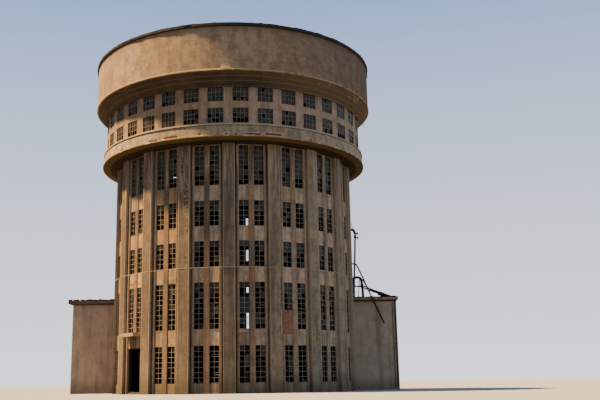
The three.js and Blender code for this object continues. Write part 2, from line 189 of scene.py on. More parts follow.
# Noise of the weathering: which scale and how many times it, stretch, detail, roughness and shift
weatherFields = {
    "Streaks": ("Streak Scale", 1.0, (1, 1, 0.07), 4.0, 0.6, (3.1, 0.4, 0)),
    "Thin Streaks": ("Streak Scale", 4.5, (1, 1, 0.045), 3.0, 0.6, (0.7, 5.2, 1)),
    "Stains": ("Stain Scale", 1.0, (1, 1, 0.8), 5.0, 0.62, (7.3, 1.9, 2)),
    "Mottle": ("Grain Scale", 0.17, (1, 1, 0.7), 7.0, 0.74, (4, 8, 1)),
    "Grain": ("Grain Scale", 1.0, (1, 1, 1), 5.0, 0.7, (0, 0, 0)),
    "Pits": ("Grain Scale", 0.28, (1, 1, 1), 6.0, 0.72, (9, 2, 4)),
}
# Where each noise fades into a mask
weatherLimits = {
    "Streaks": (0.46, 0.68), "Thin Streaks": (0.5, 0.66), "Stains": (0.34, 0.66), "Mottle": (0.44, 0.6),
    "Pits": (0.6, 0.7),
}


# Weather on a standing surface: run-down streaks, broad stains, fine grain and pitting
def makeWeathering():
    scales = {"Streak Scale": 1.6, "Stain Scale": 0.35, "Grain Scale": 9.0}
    tree, w, given, out = newGroup("weathering", scales, (*weatherFields, "Height"))
    place = w.objectPlace()
    for title, (size, times, stretch, detail, rough, shift) in weatherFields.items():
        scale = w.times(given[size], times)
        w.named[title] = w.speckle(w.stretch(place, stretch, shift), scale, detail, rough)
    for title, limits in weatherLimits.items():
        w.feed(out[title], w.fade(title, *limits))
    pitDepth = w.times(w.fade("Pits", 0.6, 0.72), 0.5)
    w.feedAll(out, {"Grain": "Grain", "Height": w.maths("SUBTRACT", w.times("Grain", 0.6), pitDepth)})
    return tree


# Marks of the boards that concrete was cast against, unrolled round the tower
def makeBoardMarks():
    boardSizes = {"Round At": 12.5, "Board Length": 1.15, "Board Height": 0.17}
    tree, w, given, out = newGroup("boardMarks", boardSizes, ("Joints", "Tone"))
    boards = w.add("ShaderNodeTexBrick", offset=0.37, offset_frequency=2)
    w.place(given["Round At"])
    w.feedAll(boards.inputs, {
        "Vector": "Unrolled", "Brick Width": given["Board Length"],
        "Row Height": given["Board Height"], "Color1": (0, 0, 0), "Color2": (1, 1, 1),
        "Mortar": (0.5, 0.5, 0.5), "Scale": 1.0, "Mortar Size": 0.006, "Mortar Smooth": 0.6,
    })
    tone = w.add("ShaderNodeRGBToBW")
    w.feed(tone.inputs[0], boards.outputs["Color"])
    w.feedAll(out, {"Joints": boards.outputs["Fac"], "Tone": tone.outputs[0]})
    return tree


towerPlace = makeTowerPlace()
weathering = makeWeathering()
boardMarks = makeBoardMarks()
print("shader groups made")


def startMaterial(name, paint={}):
    material = bpy.data.materials.new(name)
    material.use_nodes = True
    return Wiring(material.node_tree, material, paint)


# Joins a colour, a roughness and a relief of some depth to the material's shader
def finishMaterial(w, colour, roughness, depth=0.0, height=None, specular=0.5):
    shader = w.tree.nodes["Principled BSDF"]
    w.feedAll(shader.inputs, {"Base Color": colour, "Roughness": roughness, "Specular IOR Level": specular})
    if height is not None:
        bump = w.add("ShaderNodeBump")
        w.feedAll(bump.inputs, {"Distance": depth, "Height": height})
        w.feed(shader.inputs["Normal"], bump.outputs["Normal"])
    return w.material


mattSurface = {"roughness": 0.8, "grain": 0.18}


def finishMatt(w, colour, depth, height="Height"):
    roughness = w.plus(mattSurface["roughness"], "Grain", mattSurface["grain"])
    return finishMaterial(w, colour, roughness, depth, height)


def asMesh(name, bm):
    mesh = bpy.data.meshes.new(name)
    bm.to_mesh(mesh)
    bm.free()
    return mesh


def turn(axis, degrees):
    return Matrix.Rotation(math.radians(degrees), 4, axis)


# The camera that was fitted to the photo
view = {
    "place": (3.52, -88.39, 1.0),
    "heading": -0.215,
    "pitch": 102.293,
    "roll": -0.79,
    "lens": 50.03,
    "sensor": 36.0,
    "shift": 0.0506,
    "near": 0.5,
    "far": 2000.0,
}


def makeCamera():
    lens = bpy.data.cameras.new("photoCamera")
    lens.sensor_width = view["sensor"]
    lens.sensor_fit = "HORIZONTAL"
    lens.lens = view["lens"]
    lens.shift_x = view["shift"]
    lens.clip_start = view["near"]
    lens.clip_end = view["far"]
    camera = bpy.data.objects.new("photoCamera", lens)
    aim = turn("Z", view["heading"]) @ turn("X", view["pitch"]) @ turn("Z", view["roll"])
    camera.matrix_world = Matrix.Translation(view["place"]) @ aim
    bpy.context.collection.objects.link(camera)
    bpy.context.scene.camera = camera


# Floor, sky and key light. Seen is what the camera sees, thrown and fill what lights the part
studio = {
    "floorSize": 900.0,
    "floorDrop": 0.004,
    "floorRoughness": 0.9,
    "floorSeen": (0.4, 0.44, 0.52),
    "floorThrown": (0.05, 0.048, 0.045),
    "horizonSeen": (1.42, 1.46, 1.52),
    "overheadSeen": (0.23, 0.43, 0.93),
    "horizonFill": (0.5, 0.56, 0.6),
    "overheadFill": (0.22, 0.26, 0.33),
    "overheadFrom": 0.5,
    "leftFill": 0.62,    # strength of the fill from the left and from the right
    "rightFill": 1.55,
    "keyColour": (1.0, 0.59, 0.23),
    "keyPower": 16.0,
    "keyHeading": -88.0,    # where the key light comes from, in degrees round from the camera's side
    "keyHeight": 63.0,
    "keySoftness": 3.5,
}


# A colour for the camera and another for every other ray
def seenOrThrown(w, seen, thrown):
    return w.tint(w.add("ShaderNodeLightPath").outputs["Is Camera Ray"], thrown, seen)


def makeFloor():
    bm = bmesh.new()
    bmesh.ops.create_grid(bm, x_segments=1, y_segments=1, size=studio["floorSize"] / 2)
    bmesh.ops.translate(bm, vec=(0, 0, -studio["floorDrop"]), verts=bm.verts)
    floor = bpy.data.objects.new("studioFloor", asMesh("studioFloor", bm))
    bpy.context.collection.objects.link(floor)
    w = startMaterial("studioFloor")
    colour = seenOrThrown(w, studio["floorSeen"], studio["floorThrown"])
    floor.data.materials.append(finishMaterial(w, colour, studio["floorRoughness"]))


def makeSky():
    world = bpy.data.worlds.new("studioSky")
    bpy.context.scene.world = world
    world.use_nodes = True
    w = Wiring(world.node_tree)
    way = w.add("ShaderNodeSeparateXYZ")
    w.feed(way.inputs[0], w.add("ShaderNodeTexCoord").outputs["Generated"])
    ramps = {}
    for use in ("Seen", "Fill"):
        ramp = w.add("ShaderNodeValToRGB")
        low, high = ramp.color_ramp.elements
        low.color = (*studio["horizon" + use], 1)
        high.color = (*studio["overhead" + use], 1)
        high.position = studio["overheadFrom"]
        w.feed(ramp.inputs["Fac"], way.outputs["Z"])
        ramps[use] = ramp.outputs["Color"]
    sides = w.add("ShaderNodeMapRange")
    w.feedAll(sides.inputs, {"Value": way.outputs["X"], "From Min": -1.0, "To Min": studio["leftFill"],
                             "To Max": studio["rightFill"]})
    fill = w.add("ShaderNodeVectorMath", operation="SCALE")
    w.feed(fill.inputs[0], ramps["Fill"])
    w.feed(fill.inputs["Scale"], sides.outputs["Result"])
    background = w.tree.nodes["Background"]
    w.feed(background.inputs["Color"], seenOrThrown(w, ramps["Seen"], fill.outputs[0]))


def makeKeyLight():
    key = bpy.data.lights.new("keyLight", "SUN")
    key.energy = studio["keyPower"]
    key.color = studio["keyColour"]
    key.angle = math.radians(studio["keySoftness"])
    lamp = bpy.data.objects.new("keyLight", key)
    around, up = math.radians(studio["keyHeading"]), math.radians(studio["keyHeight"])
    towards = Vector((math.sin(around) * math.cos(up), -math.cos(around) * math.cos(up), math.sin(up)))
    lamp.rotation_euler = towards.to_track_quat("Z", "Y").to_euler()
    bpy.context.collection.objects.link(lamp)


makeCamera()
makeFloor()
makeSky()
makeKeyLight()
print("camera, floor and light made")


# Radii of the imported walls' faces that the finishes are unrolled on
faceRadius = {"shaft": 12.5, "gallery": 13.6, "ring": 13.9, "corbel": 14.2, "drum": 14.78, "roof": 14.8}

# Some of the shaft's paints are painted light: the grey pier and panel paints make the shaded side paler, the
# arris paint is painted highlight, the groove and inside paints are painted shade, and the soot is partly
# painted shade under the ring
shaftPaint = {
    "pier": (0.184, 0.16, 0.15),
    "greyPierPaintedLight": (0.48, 0.412, 0.318),
    "panel": (0.57, 0.425, 0.28),
    "greyPanelPaintedLight": (0.76, 0.665, 0.535),
    "lowPanel": (0.8, 0.66, 0.49),
    "paleStain": (0.52, 0.41, 0.285),
    "darkStreak": (0.1, 0.07, 0.047),
    "rustStreak": (0.33, 0.15, 0.058),
    "rustRun": (0.56, 0.29, 0.115),
    "soot": (0.12, 0.092, 0.066),
    "lime": (0.56, 0.49, 0.39),
    "arrisHighlight": (0.52, 0.44, 0.34),
    "groove": (0.06, 0.044, 0.032),
    "inside": (0.035, 0.029, 0.023),
    "damp": (0.12, 0.104, 0.07),
}
# Single marks on the shaft: angle, height and half sizes
shaftMarks = {
    "scars": [
        (-19.0, 18.0, 0.46, 2.8), (-18.5, 15.2, 0.34, 1.8), (-18.9, 12.0, 0.2, 1.2), (22.4, 9.0, 0.1, 3.5),
        (-20.8, 21.2, 0.34, 1.9),
    ],
    "limeRuns": [
        (-21.3, 20.6, 0.22, 2.6), (-38.8, 20.4, 0.16, 2.6), (-29.9, 20.6, 0.14, 2.2), (-9.9, 20.9, 0.1, 1.8),
        (-1.6, 20.8, 0.14, 2.0), (18.2, 21.4, 0.16, 1.6), (41.0, 20.4, 0.2, 2.4), (-58.6, 20.2, 0.2, 2.4),
    ],
    "rustRuns": [
        (9.5, 18.5, 0.36, 1.3), (8.8, 14.5, 0.42, 1.0), (10.1, 10.7, 0.38, 1.0), (9.4, 16.2, 0.18, 1.8),
        (10.0, 4.2, 0.34, 1.0), (-25.8, 14.6, 0.34, 0.9), (-31.9, 14.5, 0.34, 0.8), (-34.3, 10.6, 0.34, 0.8),
        (-50.0, 14.5, 0.36, 1.1), (-50.5, 10.7, 0.36, 1.0), (29.5, 18.4, 0.26, 0.9), (171.0, 14.6, 0.4, 1.0),
        (128.0, 10.6, 0.36, 1.0), (-129.0, 14.4, 0.36, 1.0), (-89.0, 10.8, 0.36, 1.0),
        (91.5, 14.5, 0.34, 0.9),
    ],
}


def makeShaftRender():
    w = startMaterial("shaftRender", shaftPaint)
    radius = faceRadius["shaft"]
    w.place(radius)
    w.weather(streak=1.5, stain=0.3, grain=8.0)
    w.boards(radius, length=1.15, height=0.17)
    scars, limeRuns, rustRuns = (
        w.ovals("Unrolled", shaftMarks[name], radius) for name in ("scars", "limeRuns", "rustRuns")
    )
    pier = w.fade("Radius", 12.27, 12.3)
    recess = w.fade("Radius", 12.3, 12.27)
    panel = w.fade("Out", 12.09, 12.07)
    # Painted shade: the walls' inner faces are painted near black, so the openings look dark
    inside = w.fade("Out", 11.99, 11.94)
    # Painted shade: a dark line in the groove beside each pier
    groove = w.times(w.fade("Across", 0.56, 0.59), w.fade("Across", 0.72, 0.68), recess)
    # Painted highlights: pale lines along the arrises of the piers and panels
    pierArrisHighlight = w.times(w.line("Across", 0.545, 0.07), pier, w.fade("Grain", 0.34, 0.5))
    panelArrisHighlight = w.times(w.line("Across", 0.88, 0.07), recess, w.fade("Grain", 0.38, 0.53))
    lowWall = w.fade("Up", 6.4, 4.6)
    damp = w.fade("Up", 2.2, 0.1)
    # Darker under the ring: soot, and painted shade below the ring's overhang
    sootAndShadeUnderRing = w.fade("Up", 16.8, 20.6)
    worn = w.plus("Grain", scars, 0.2)
    broken = w.times(scars, w.fade(worn, 0.65, 0.69))
    # Painted light: piers and panels are painted darker on the sunlit left and paler and greyer on the shaded
    # right
    pierTone = w.coats("pier", ("greyPierPaintedLight", w.fade("Side", -4.0, 7.0)))
    panelTone = w.coats(
        "panel",
        ("greyPanelPaintedLight", w.fade("Side", -5.5, -1.5)),
        ("lowPanel", w.line("Up", 10.7, 1.1), 0.45),
    )
    base = w.coats(
        w.tint(panel, pierTone, panelTone),
        ("paleStain", lowWall, 0.25),
        ("paleStain", "Stains", 0.26),
        ("darkStreak", "Tone", 0.16),
        ("darkStreak", "Mottle", 0.4),
        ("darkStreak", "Streaks", 0.5),
        ("rustStreak", "Thin Streaks", recess, 0.62),
        ("darkStreak", "Thin Streaks", pier, 0.4),
        # Soot streaks under the ring, then a flat coat of painted shade there
        ("soot", sootAndShadeUnderRing, "Streaks", 0.8),
        ("soot", sootAndShadeUnderRing, 0.3),
        ("lime", sootAndShadeUnderRing, "Thin Streaks", 0.72),
        ("rustRun", rustRuns, w.fade("Grain", 0.3, 0.58), 0.75),
        ("lime", limeRuns, w.fade("Grain", 0.4, 0.52), 0.75),
        # painted shade in the grooves
        ("groove", groove, 0.88),
        # painted highlights on the arrises
        ("arrisHighlight", pierArrisHighlight, 0.85),
        ("arrisHighlight", panelArrisHighlight, 0.75),
        ("darkStreak", "Pits", 0.45),
        ("damp", damp, 0.7),
        # painted shade on the inner faces
        ("inside", inside),
        ("lime", scars, w.fade(worn, 0.56, 0.61), 0.9),
        ("groove", broken, 0.9),
    )
    dents = w.plus(w.times("Joints", 0.35), broken, 0.8)
    return finishMatt(w, base, 0.025, w.maths("SUBTRACT", "Height", dents))


# The inside paint is painted shade and the arris paint painted highlight
galleryPaint = {
    "wall": (0.4, 0.3, 0.215),
    "pale": (0.6, 0.49, 0.38),
    "dark": (0.11, 0.082, 0.058),
    "rust": (0.35, 0.165, 0.07),
    "arrisHighlight": (0.56, 0.48, 0.37),
    "inside": (0.04, 0.033, 0.027),
}


def makeGalleryRender():
    w = startMaterial("galleryRender", galleryPaint)
    w.place(faceRadius["gallery"], parts=36)
    w.weather(streak=2.0, stain=0.45, grain=9.0)
    # Painted highlights: pale lines on the edges between the wall's flat faces
    jointHighlights = w.times(w.line("Across", 0.0, 0.05), w.fade("Grain", 0.4, 0.55))
    base = w.coats(
        "wall",
        # Painted light: paler towards the shaded right side
        ("pale", w.fade("Side", -4.0, 6.0), 0.5),
        ("pale", "Stains", 0.4),
        ("dark", "Mottle", 0.38),
        ("dark", "Streaks", 0.4),
        ("rust", "Thin Streaks", 0.22),
        ("arrisHighlight", jointHighlights, 0.55),
        # Painted shade: darker towards the top, under the corbel
        ("dark", w.fade("Up", 27.2, 28.4), 0.4),
        ("dark", "Pits", 0.35),
        # Painted shade on the inner faces
        ("inside", w.fade("Out", 13.54, 13.49)),
    )
    return finishMatt(w, base, 0.02)


# The cap paint is a painted highlight on the top moulding and the inside paint painted shade; the edge paint
# is both painted light at the ring's ends and the pale rims of breaks
ringPaint = {
    "face": (0.4, 0.335, 0.255),
    "pale": (0.52, 0.45, 0.355),
    "cap": (0.62, 0.55, 0.43),
    "lip": (0.47, 0.38, 0.23),
    "grime": (0.13, 0.1, 0.066),
    "moss": (0.22, 0.185, 0.085),
    "spall": (0.23, 0.078, 0.042),
    "edge": (0.72, 0.66, 0.56),
    "soffit": (0.17, 0.128, 0.066),
    "inside": (0.05, 0.042, 0.034),
}


def makeRingConcrete():
    w = startMaterial("ringConcrete", ringPaint)
    w.place(faceRadius["ring"])
    w.weather(streak=1.8, stain=0.55, grain=10.0)
    lip = w.fade("Up", 23.5, 23.46)
    under = w.times(w.fade("Up", 23.349, 23.335), w.fade("Radius", 14.04, 14.0))
    ragged = w.breaks()
    spalled = w.fade(ragged, 0.34, 0.44)
    base = w.coats(
        "face",
        ("pale", "Stains", 0.5),
        # Painted light: paler towards the ring's left and right ends
        ("edge", w.fade("Side", -6.0, -12.0), 0.5),
        ("edge", w.fade("Side", 6.0, 12.0), 0.3),
        ("grime", "Mottle", 0.5),
        ("grime", "Streaks", 0.38),
        ("moss", "Thin Streaks", 0.25),
        ("grime", "Pits", 0.6),
        # Painted shadow: a dark line under the top moulding; above it the top is painted paler as a painted
        # highlight
        ("grime", w.line("Up", 24.45, 0.07), 0.6),
        ("cap", w.fade("Up", 24.49, 24.52), 0.75),
        ("lip", lip, 0.7),
        ("moss", lip, "Stains", 0.7),
        ("edge", w.fade(ragged, 0.05, 0.16), 0.9),
        ("spall", spalled),
        ("grime", spalled, w.fade("Mottle", 0.6, 0.9), 0.7),
    )
    base = w.tint(under, base, w.coats("soffit", ("moss", "Stains", 0.6)))
    # Painted shade on the inner faces
    base = w.coats(base, ("inside", w.fade("Radius", 13.3, 13.2)))
    return finishMatt(w, base, 0.03, w.maths("SUBTRACT", "Height", w.times(spalled, 0.8)))


drumPaint = {
    "face": (0.46, 0.35, 0.255),
    "pale": (0.62, 0.48, 0.36),
    "grime": (0.13, 0.095, 0.066),
    "lip": (0.56, 0.46, 0.3),
    "moss": (0.23, 0.18, 0.085),
    "inside": (0.08, 0.07, 0.06),
}


def makeDrumConcrete():
    w = startMaterial("drumConcrete", drumPaint)
    w.place(faceRadius["drum"])
    w.weather(streak=1.1, stain=0.22, grain=7.0)
    w.boards(faceRadius["drum"], length=0.62, height=0.24)
    # Painted shade: the right side, away from the key light, is painted darker
    right = w.fade("Side", 1.0, 11.0)
    top = w.fade(w.plus("Up", "Grain", 1.2), 33.7, 34.7)
    worn = w.breaks()
    base = w.coats(
        "face",
        ("pale", "Stains", 0.55),
        ("grime", "Tone", w.plus(0.14, right, 0.26)),
        ("grime", "Joints", 0.3),
        ("grime", "Mottle", 0.42),
        ("grime", "Streaks", 0.24),
        # painted shade on the right side, darkest at the right edge
        ("grime", right, 0.46),
        ("grime", w.fade("Side", 11.0, 14.5), 0.62),
        ("grime", top, 0.6),
        ("grime", "Pits", 0.35),
        ("lip", w.fade("Up", 29.74, 29.7), 0.75),
        ("moss", w.fade(worn, 0.34, 0.52)),
        # Painted shade on the inner faces
        ("inside", w.fade("Radius", 14.68, 14.6)),
    )
    return finishMatt(w, base, 0.025, w.maths("SUBTRACT", "Height", w.times("Joints", 0.5)))


# The face paint is painted dark as shade under the drum, and the riser paint pale as painted highlight
corbelPaint = {
    "face": (0.084, 0.066, 0.048),
    "riser": (0.23, 0.182, 0.128),
    "edge": (0.42, 0.32, 0.18),
    "soot": (0.026, 0.019, 0.013),
}


def makeCorbelConcrete():
    w = startMaterial("corbelConcrete", corbelPaint)
    w.place(faceRadius["corbel"])
    w.weather(streak=2.4, stain=0.5, grain=8.0)
    # Painted light: the corbel is painted paler towards the shaded right side
    right = w.fade("Side", 1.0, 9.0)
    # Painted highlights: pale lines along the steps' vertical risers
    riserHighlights = [("riser", w.line("Up", height, 0.06), 0.7) for height in (28.815, 29.165, 29.53)]
    wornEdge = w.times(w.fade(w.spall(), 0.25, 0.6), w.fade("Up", 28.9, 29.3))
    base = w.coats(
        "face",
        ("riser", "Stains", 0.3),
        *riserHighlights,
        ("soot", "Thin Streaks", 0.5),
        ("riser", right, 0.75),
        # worn edges, painted stronger on the right as painted light
        ("edge", wornEdge, w.plus(0.15, right, 0.75)),
    )
    return finishMatt(w, base, 0.03)


capPaint = {
    "felt": (0.025, 0.024, 0.024),
    "dust": (0.066, 0.059, 0.051),
    "moss": (0.045, 0.05, 0.027),
    "seam": (0.012, 0.012, 0.012),
    "rim": (0.036, 0.029, 0.023),
}


def makeRoofCap():
    w = startMaterial("roofCap", capPaint)
    w.place(faceRadius["roof"], parts=24)
    w.weather(streak=1.0, stain=0.3, grain=12.0)
    seam = w.fade("Across", 0.16, 0.1)
    base = w.coats(
        "felt",
        ("dust", "Stains", 0.7),
        ("moss", "Pits", 0.55),
        ("seam", seam, 0.6),
        ("felt", "Grain", 0.3),
        ("rim", w.fade("Radius", 14.78, 14.86), 0.7),
    )
    roughness = w.plus(0.72, "Grain", 0.25)
    return finishMaterial(w, base, roughness, 0.015, w.plus("Height", seam, 0.4))


slabPaint = {"bare": (0.17, 0.148, 0.122), "dust": (0.26, 0.222, 0.172), "damp": (0.075, 0.066, 0.052)}
trimPaint = {"bare": (0.42, 0.35, 0.26), "dust": (0.56, 0.49, 0.39), "damp": (0.16, 0.13, 0.09)}


def makeBareConcrete(name, paint):
    w = startMaterial(name, paint)
    w.weather(streak=0.7, stain=0.4, grain=14.0)
    base = w.coats(
        "bare",
        ("dust", "Stains"),
        ("damp", "Pits", 0.6),
        ("damp", "Grain", 0.35),
    )
    return finishMatt(w, base, 0.012)


# The line paint is painted shade: the dark band under the eaves and the dark underside of the slabs
wingPaint = {
    "wall": (0.585, 0.492, 0.4),
    "pale": (0.665, 0.57, 0.455),
    "grime": (0.13, 0.102, 0.074),
    "fascia": (0.36, 0.3, 0.24),
    "line": (0.06, 0.046, 0.034),
    "debris": (0.15, 0.122, 0.08),
    "damp": (0.105, 0.096, 0.066),
}


def makeWingRender():
    w = startMaterial("wingRender", wingPaint)
    w.place()
    w.weather(streak=1.2, stain=0.35, grain=9.0)
    base = w.coats(
        "wall",
        ("pale", "Stains", 0.55),
        ("grime", "Mottle", 0.22),
        ("grime", "Streaks", 0.4),
        ("grime", "Pits", 0.4),
        # Painted shadow: a dark band at the top of the wall, under the eaves
        ("line", w.fade("Up", 9.26, 9.38), 0.85),
        ("damp", w.fade("Up", 1.8, 0.1), 0.6),
    )
    return finishMatt(w, base, 0.02)


def makeWingSlab():
    w = startMaterial("wingSlab", wingPaint)
    w.place()
    w.weather(streak=2.6, stain=0.6, grain=7.0)
    base = w.coats(
        "fascia",
        ("grime", "Mottle", 0.5),
        ("grime", "Streaks", 0.5),
        ("pale", "Stains", 0.3),
        ("grime", w.fade("Side", 0.0, -4.0), 0.65),
        ("grime", "Pits", 0.6),
        # Painted shade: the slab's underside is painted dark
        ("line", w.fade("Up", 9.5, 9.47)),
        ("debris", w.fade("Up", 9.76, 9.8), w.fade("Grain", 0.35, 0.6)),
    )
    return finishMatt(w, base, 0.03)


steelPaint = {"plain": (0.026, 0.024, 0.023), "rust": (0.042, 0.021, 0.013), "bright": (0.085, 0.044, 0.025)}
greyPaint = {"plain": (0.032, 0.041, 0.047), "rust": (0.032, 0.027, 0.024), "bright": (0.06, 0.055, 0.05)}


def makeRustySteel(name, paint):
    w = startMaterial(name, paint)
    w.weather(streak=5.0, stain=1.4, grain=30.0)
    base = w.coats(
        "plain",
        ("rust", "Stains"),
        ("bright", w.fade("Grain", 0.52, 0.66), 0.5),
    )
    return finishMaterial(w, base, w.plus(0.52, "Stains", 0.34), 0.004, "Grain", specular=0.2)


# The bars' paint changes between the middle and the top windows
barPaint = {"low": (0.35, 0.34, 0.31), "high": (0.25, 0.24, 0.215), "rust": (0.19, 0.118, 0.07)}
strapPaint = {"low": (0.64, 0.59, 0.5), "high": (0.64, 0.59, 0.5), "rust": (0.19, 0.118, 0.07)}


def makeWindowSteel(name, paint):
    w = startMaterial(name, paint)
    w.place()
    w.weather(streak=6.0, stain=0.9, grain=26.0)
    base = w.coats(
        "low",
        ("high", w.fade("Up", 18.0, 19.4)),
        ("rust", "Stains", 0.5),
        ("rust", w.fade("Grain", 0.5, 0.68), 0.5),
    )
    return finishMaterial(w, base, w.plus(0.5, "Stains", 0.35), 0.003, "Grain")


glassPaint = {"clean": (0.01, 0.012, 0.011), "dusty": (0.052, 0.055, 0.048), "brown": (0.04, 0.031, 0.021)}


def makeDustyGlass():
    w = startMaterial("dustyGlass", glassPaint)
    place = w.objectPlace()
    film = w.speckle(w.stretch(place, (1, 1, 0.35)), 5.0, 4.0)
    base = w.coats(
        "clean",
        ("dusty", w.fade(w.speckle(place, 1.7, 0.0), 0.35, 0.68)),
        ("brown", w.fade(film, 0.42, 0.62), 0.5),
    )
    roughness = w.plus(0.16, w.fade(film, 0.38, 0.62), 0.4)
    return finishMaterial(w, base, roughness, 0.002, film, specular=0.35)


brickPaint = {
    "red": (0.45, 0.22, 0.145),
    "burnt": (0.29, 0.148, 0.104),
    "pale": (0.52, 0.3, 0.2),
    "mortar": (0.33, 0.25, 0.185),
    "slip": (0.7, 0.65, 0.56),
}


def makeBrickFace():
    w = startMaterial("brickFace", brickPaint)
    place = w.objectPlace()
    each = w.speckle(w.stretch(place, (2.5, 2.5, 9.0)), 1.0, 0.0)
    grit = w.speckle(place, 45.0, 4.0)
    base = w.coats(
        "red",
        ("burnt", w.fade(each, 0.35, 0.62)),
        ("pale", w.fade(grit, 0.5, 0.7), 0.45),
    )
    return finishMaterial(w, base, 0.9, 0.006, grit)


def makeMortar(name, tone):
    w = startMaterial(name, brickPaint)
    grit = w.speckle(w.objectPlace(), 38.0, 4.0)
    base = w.coats(tone, ("burnt", w.fade(grit, 0.45, 0.7), 0.5))
    return finishMaterial(w, base, 0.95, 0.005, grit)


paints = {
    "shaft": makeShaftRender(),
    "gallery": makeGalleryRender(),
    "ring": makeRingConcrete(),
    "drum": makeDrumConcrete(),
    "corbel": makeCorbelConcrete(),
    "cap": makeRoofCap(),
    "slab": makeBareConcrete("slabConcrete", slabPaint),
    "trim": makeBareConcrete("trimConcrete", trimPaint),
    "wingWall": makeWingRender(),
    "wingSlab": makeWingSlab(),
    "steel": makeRustySteel("rustySteel", steelPaint),
    "greySteel": makeRustySteel("greySteel", greyPaint),
    "bars": makeWindowSteel("windowSteel", barPaint),
    "strap": makeWindowSteel("strapSteel", strapPaint),
    "glass": makeDustyGlass(),
    "brick": makeBrickFace(),
    "mortar": makeMortar("mortar", "mortar"),
    "slip": makeMortar("mortarSlip", "slip"),
}
print("materials made")


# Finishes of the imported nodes, by the start of their names
finishes = {
    "shaft": ("shaft_wall",),
    "gallery": ("gallery_wall",),
    "slab": ("ground_floor", "floor_", "gallery_floor", "tank_floor", "left_wing_floor", "right_wing_floor"),
    "wingWall": ("left_wing_walls", "right_wing_walls"),
    "wingSlab": ("left_wing_roof", "right_wing_roof"),
    "trim": ("entrance_canopy",),
    "mortar": ("brick_infill",),
    "ring": ("ring_beam",),
    "corbel": ("drum_corbel",),
    "drum": ("tank_wall",),
    "cap": ("cornice", "tank_roof"),
    "steel": ("infill_lintel", "roof_mast", "roof_pipe", "fallen_rail", "leaning_spar"),
}


def dressNodes():
    for name, node in nodes.items():
        finish = next((key for key, starts in finishes.items() if name.startswith(starts)), None)
        if finish is None:
            raise ValueError("no finish for " + name)
        node.data.materials.clear()
        node.data.materials.append(paints[finish])


dressNodes()
print("packed nodes dressed")


def addPiece(name, bm, finish, stands=(), sharpAngle=None):
    mesh = asMesh(name, bm)
    mesh.materials.append(paints[finish])
    if sharpAngle is not None:
        mesh.polygons.foreach_set("use_smooth", [True] * len(mesh.polygons))
        mesh.set_sharp_from_angle(angle=math.radians(sharpAngle))
    piece = bpy.data.objects.new(name, mesh)
    bpy.context.collection.objects.link(piece)
    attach(piece, "root")
    if stands:
        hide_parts(*stands)


def addBlock(bm, low, high, bevel=0.0):
    made = bmesh.ops.create_cube(bm, size=1.0)["verts"]
    low, high = Vector(low), Vector(high)
    bmesh.ops.scale(bm, vec=high - low, verts=made)
    bmesh.ops.translate(bm, vec=(low + high) / 2, verts=made)
    if bevel:
        edges = list({edge for vert in made for edge in vert.link_edges})
        bmesh.ops.bevel(bm, geom=edges, offset=bevel, affect="EDGES", segments=1, profile=0.5, material=-1)


def blockMesh(low, high, bevel=0.0):
    bm = bmesh.new()
    addBlock(bm, low, high, bevel)
    return asMesh("block", bm)


# Copies a small mesh into a larger one
def stamp(bm, unit, matrix=Matrix()):
    first = len(bm.verts)
    bm.from_mesh(unit)
    bm.verts.ensure_lookup_table()
    bmesh.ops.transform(bm, matrix=matrix, verts=bm.verts[first:])


# A closed outline in the XZ plane, given a thickness along Y
def plateMesh(outline, thickness):
    bm = bmesh.new()
    face = bm.faces.new([bm.verts.new((x, 0, z)) for x, z in outline])
    made = bmesh.ops.extrude_face_region(bm, geom=[face])["geom"]
    back = [part for part in made if isinstance(part, bmesh.types.BMVert)]
    bmesh.ops.translate(bm, vec=(0, thickness, 0), verts=back)
    bmesh.ops.recalc_face_normals(bm, faces=bm.faces)
    return asMesh("plate", bm)


# How round and how finely bent the two kinds of bar are, and from which angle their edges look sharp
bars = {"straightRound": 2, "smoothRound": 3, "smoothSteps": 5, "sharpAngle": 35}


# A round bar along a path, straight from point to point or in smooth bends
def addTube(bm, path, radius, smooth=False):
    curve = bpy.data.curves.new("tubePath", "CURVE")
    curve.dimensions = "3D"
    curve.bevel_depth = radius
    curve.use_fill_caps = True
    if smooth:
        curve.bevel_resolution = bars["smoothRound"]
        curve.resolution_u = bars["smoothSteps"]
        points = curve.splines.new("BEZIER").bezier_points
        points.add(len(path) - 1)
        for point, place in zip(points, path):
            point.co = place
            point.handle_left_type = point.handle_right_type = "AUTO"
    else:
        curve.bevel_resolution = bars["straightRound"]
        points = curve.splines.new("POLY").points
        points.add(len(path) - 1)
        for point, place in zip(points, path):
            point.co = (*place, 1)
    holder = bpy.data.objects.new("tubePath", curve)
    stamp(bm, bpy.data.meshes.new_from_object(holder))
    bpy.data.objects.remove(holder)


# A round disc or funnel, upright about its middle
def addCone(bm, shape):
    return bmesh.ops.create_cone(bm, cap_ends=True, segments=shape["sides"], radius1=shape["lowRadius"],
                                 radius2=shape["highRadius"], depth=shape["depth"])["verts"]


# From a wall's own frame at a compass angle: along it, out from the axis, and up
def wallSpot(angle, along, out, z):
    return turn("Z", angle) @ Matrix.Translation((along, -out, z))


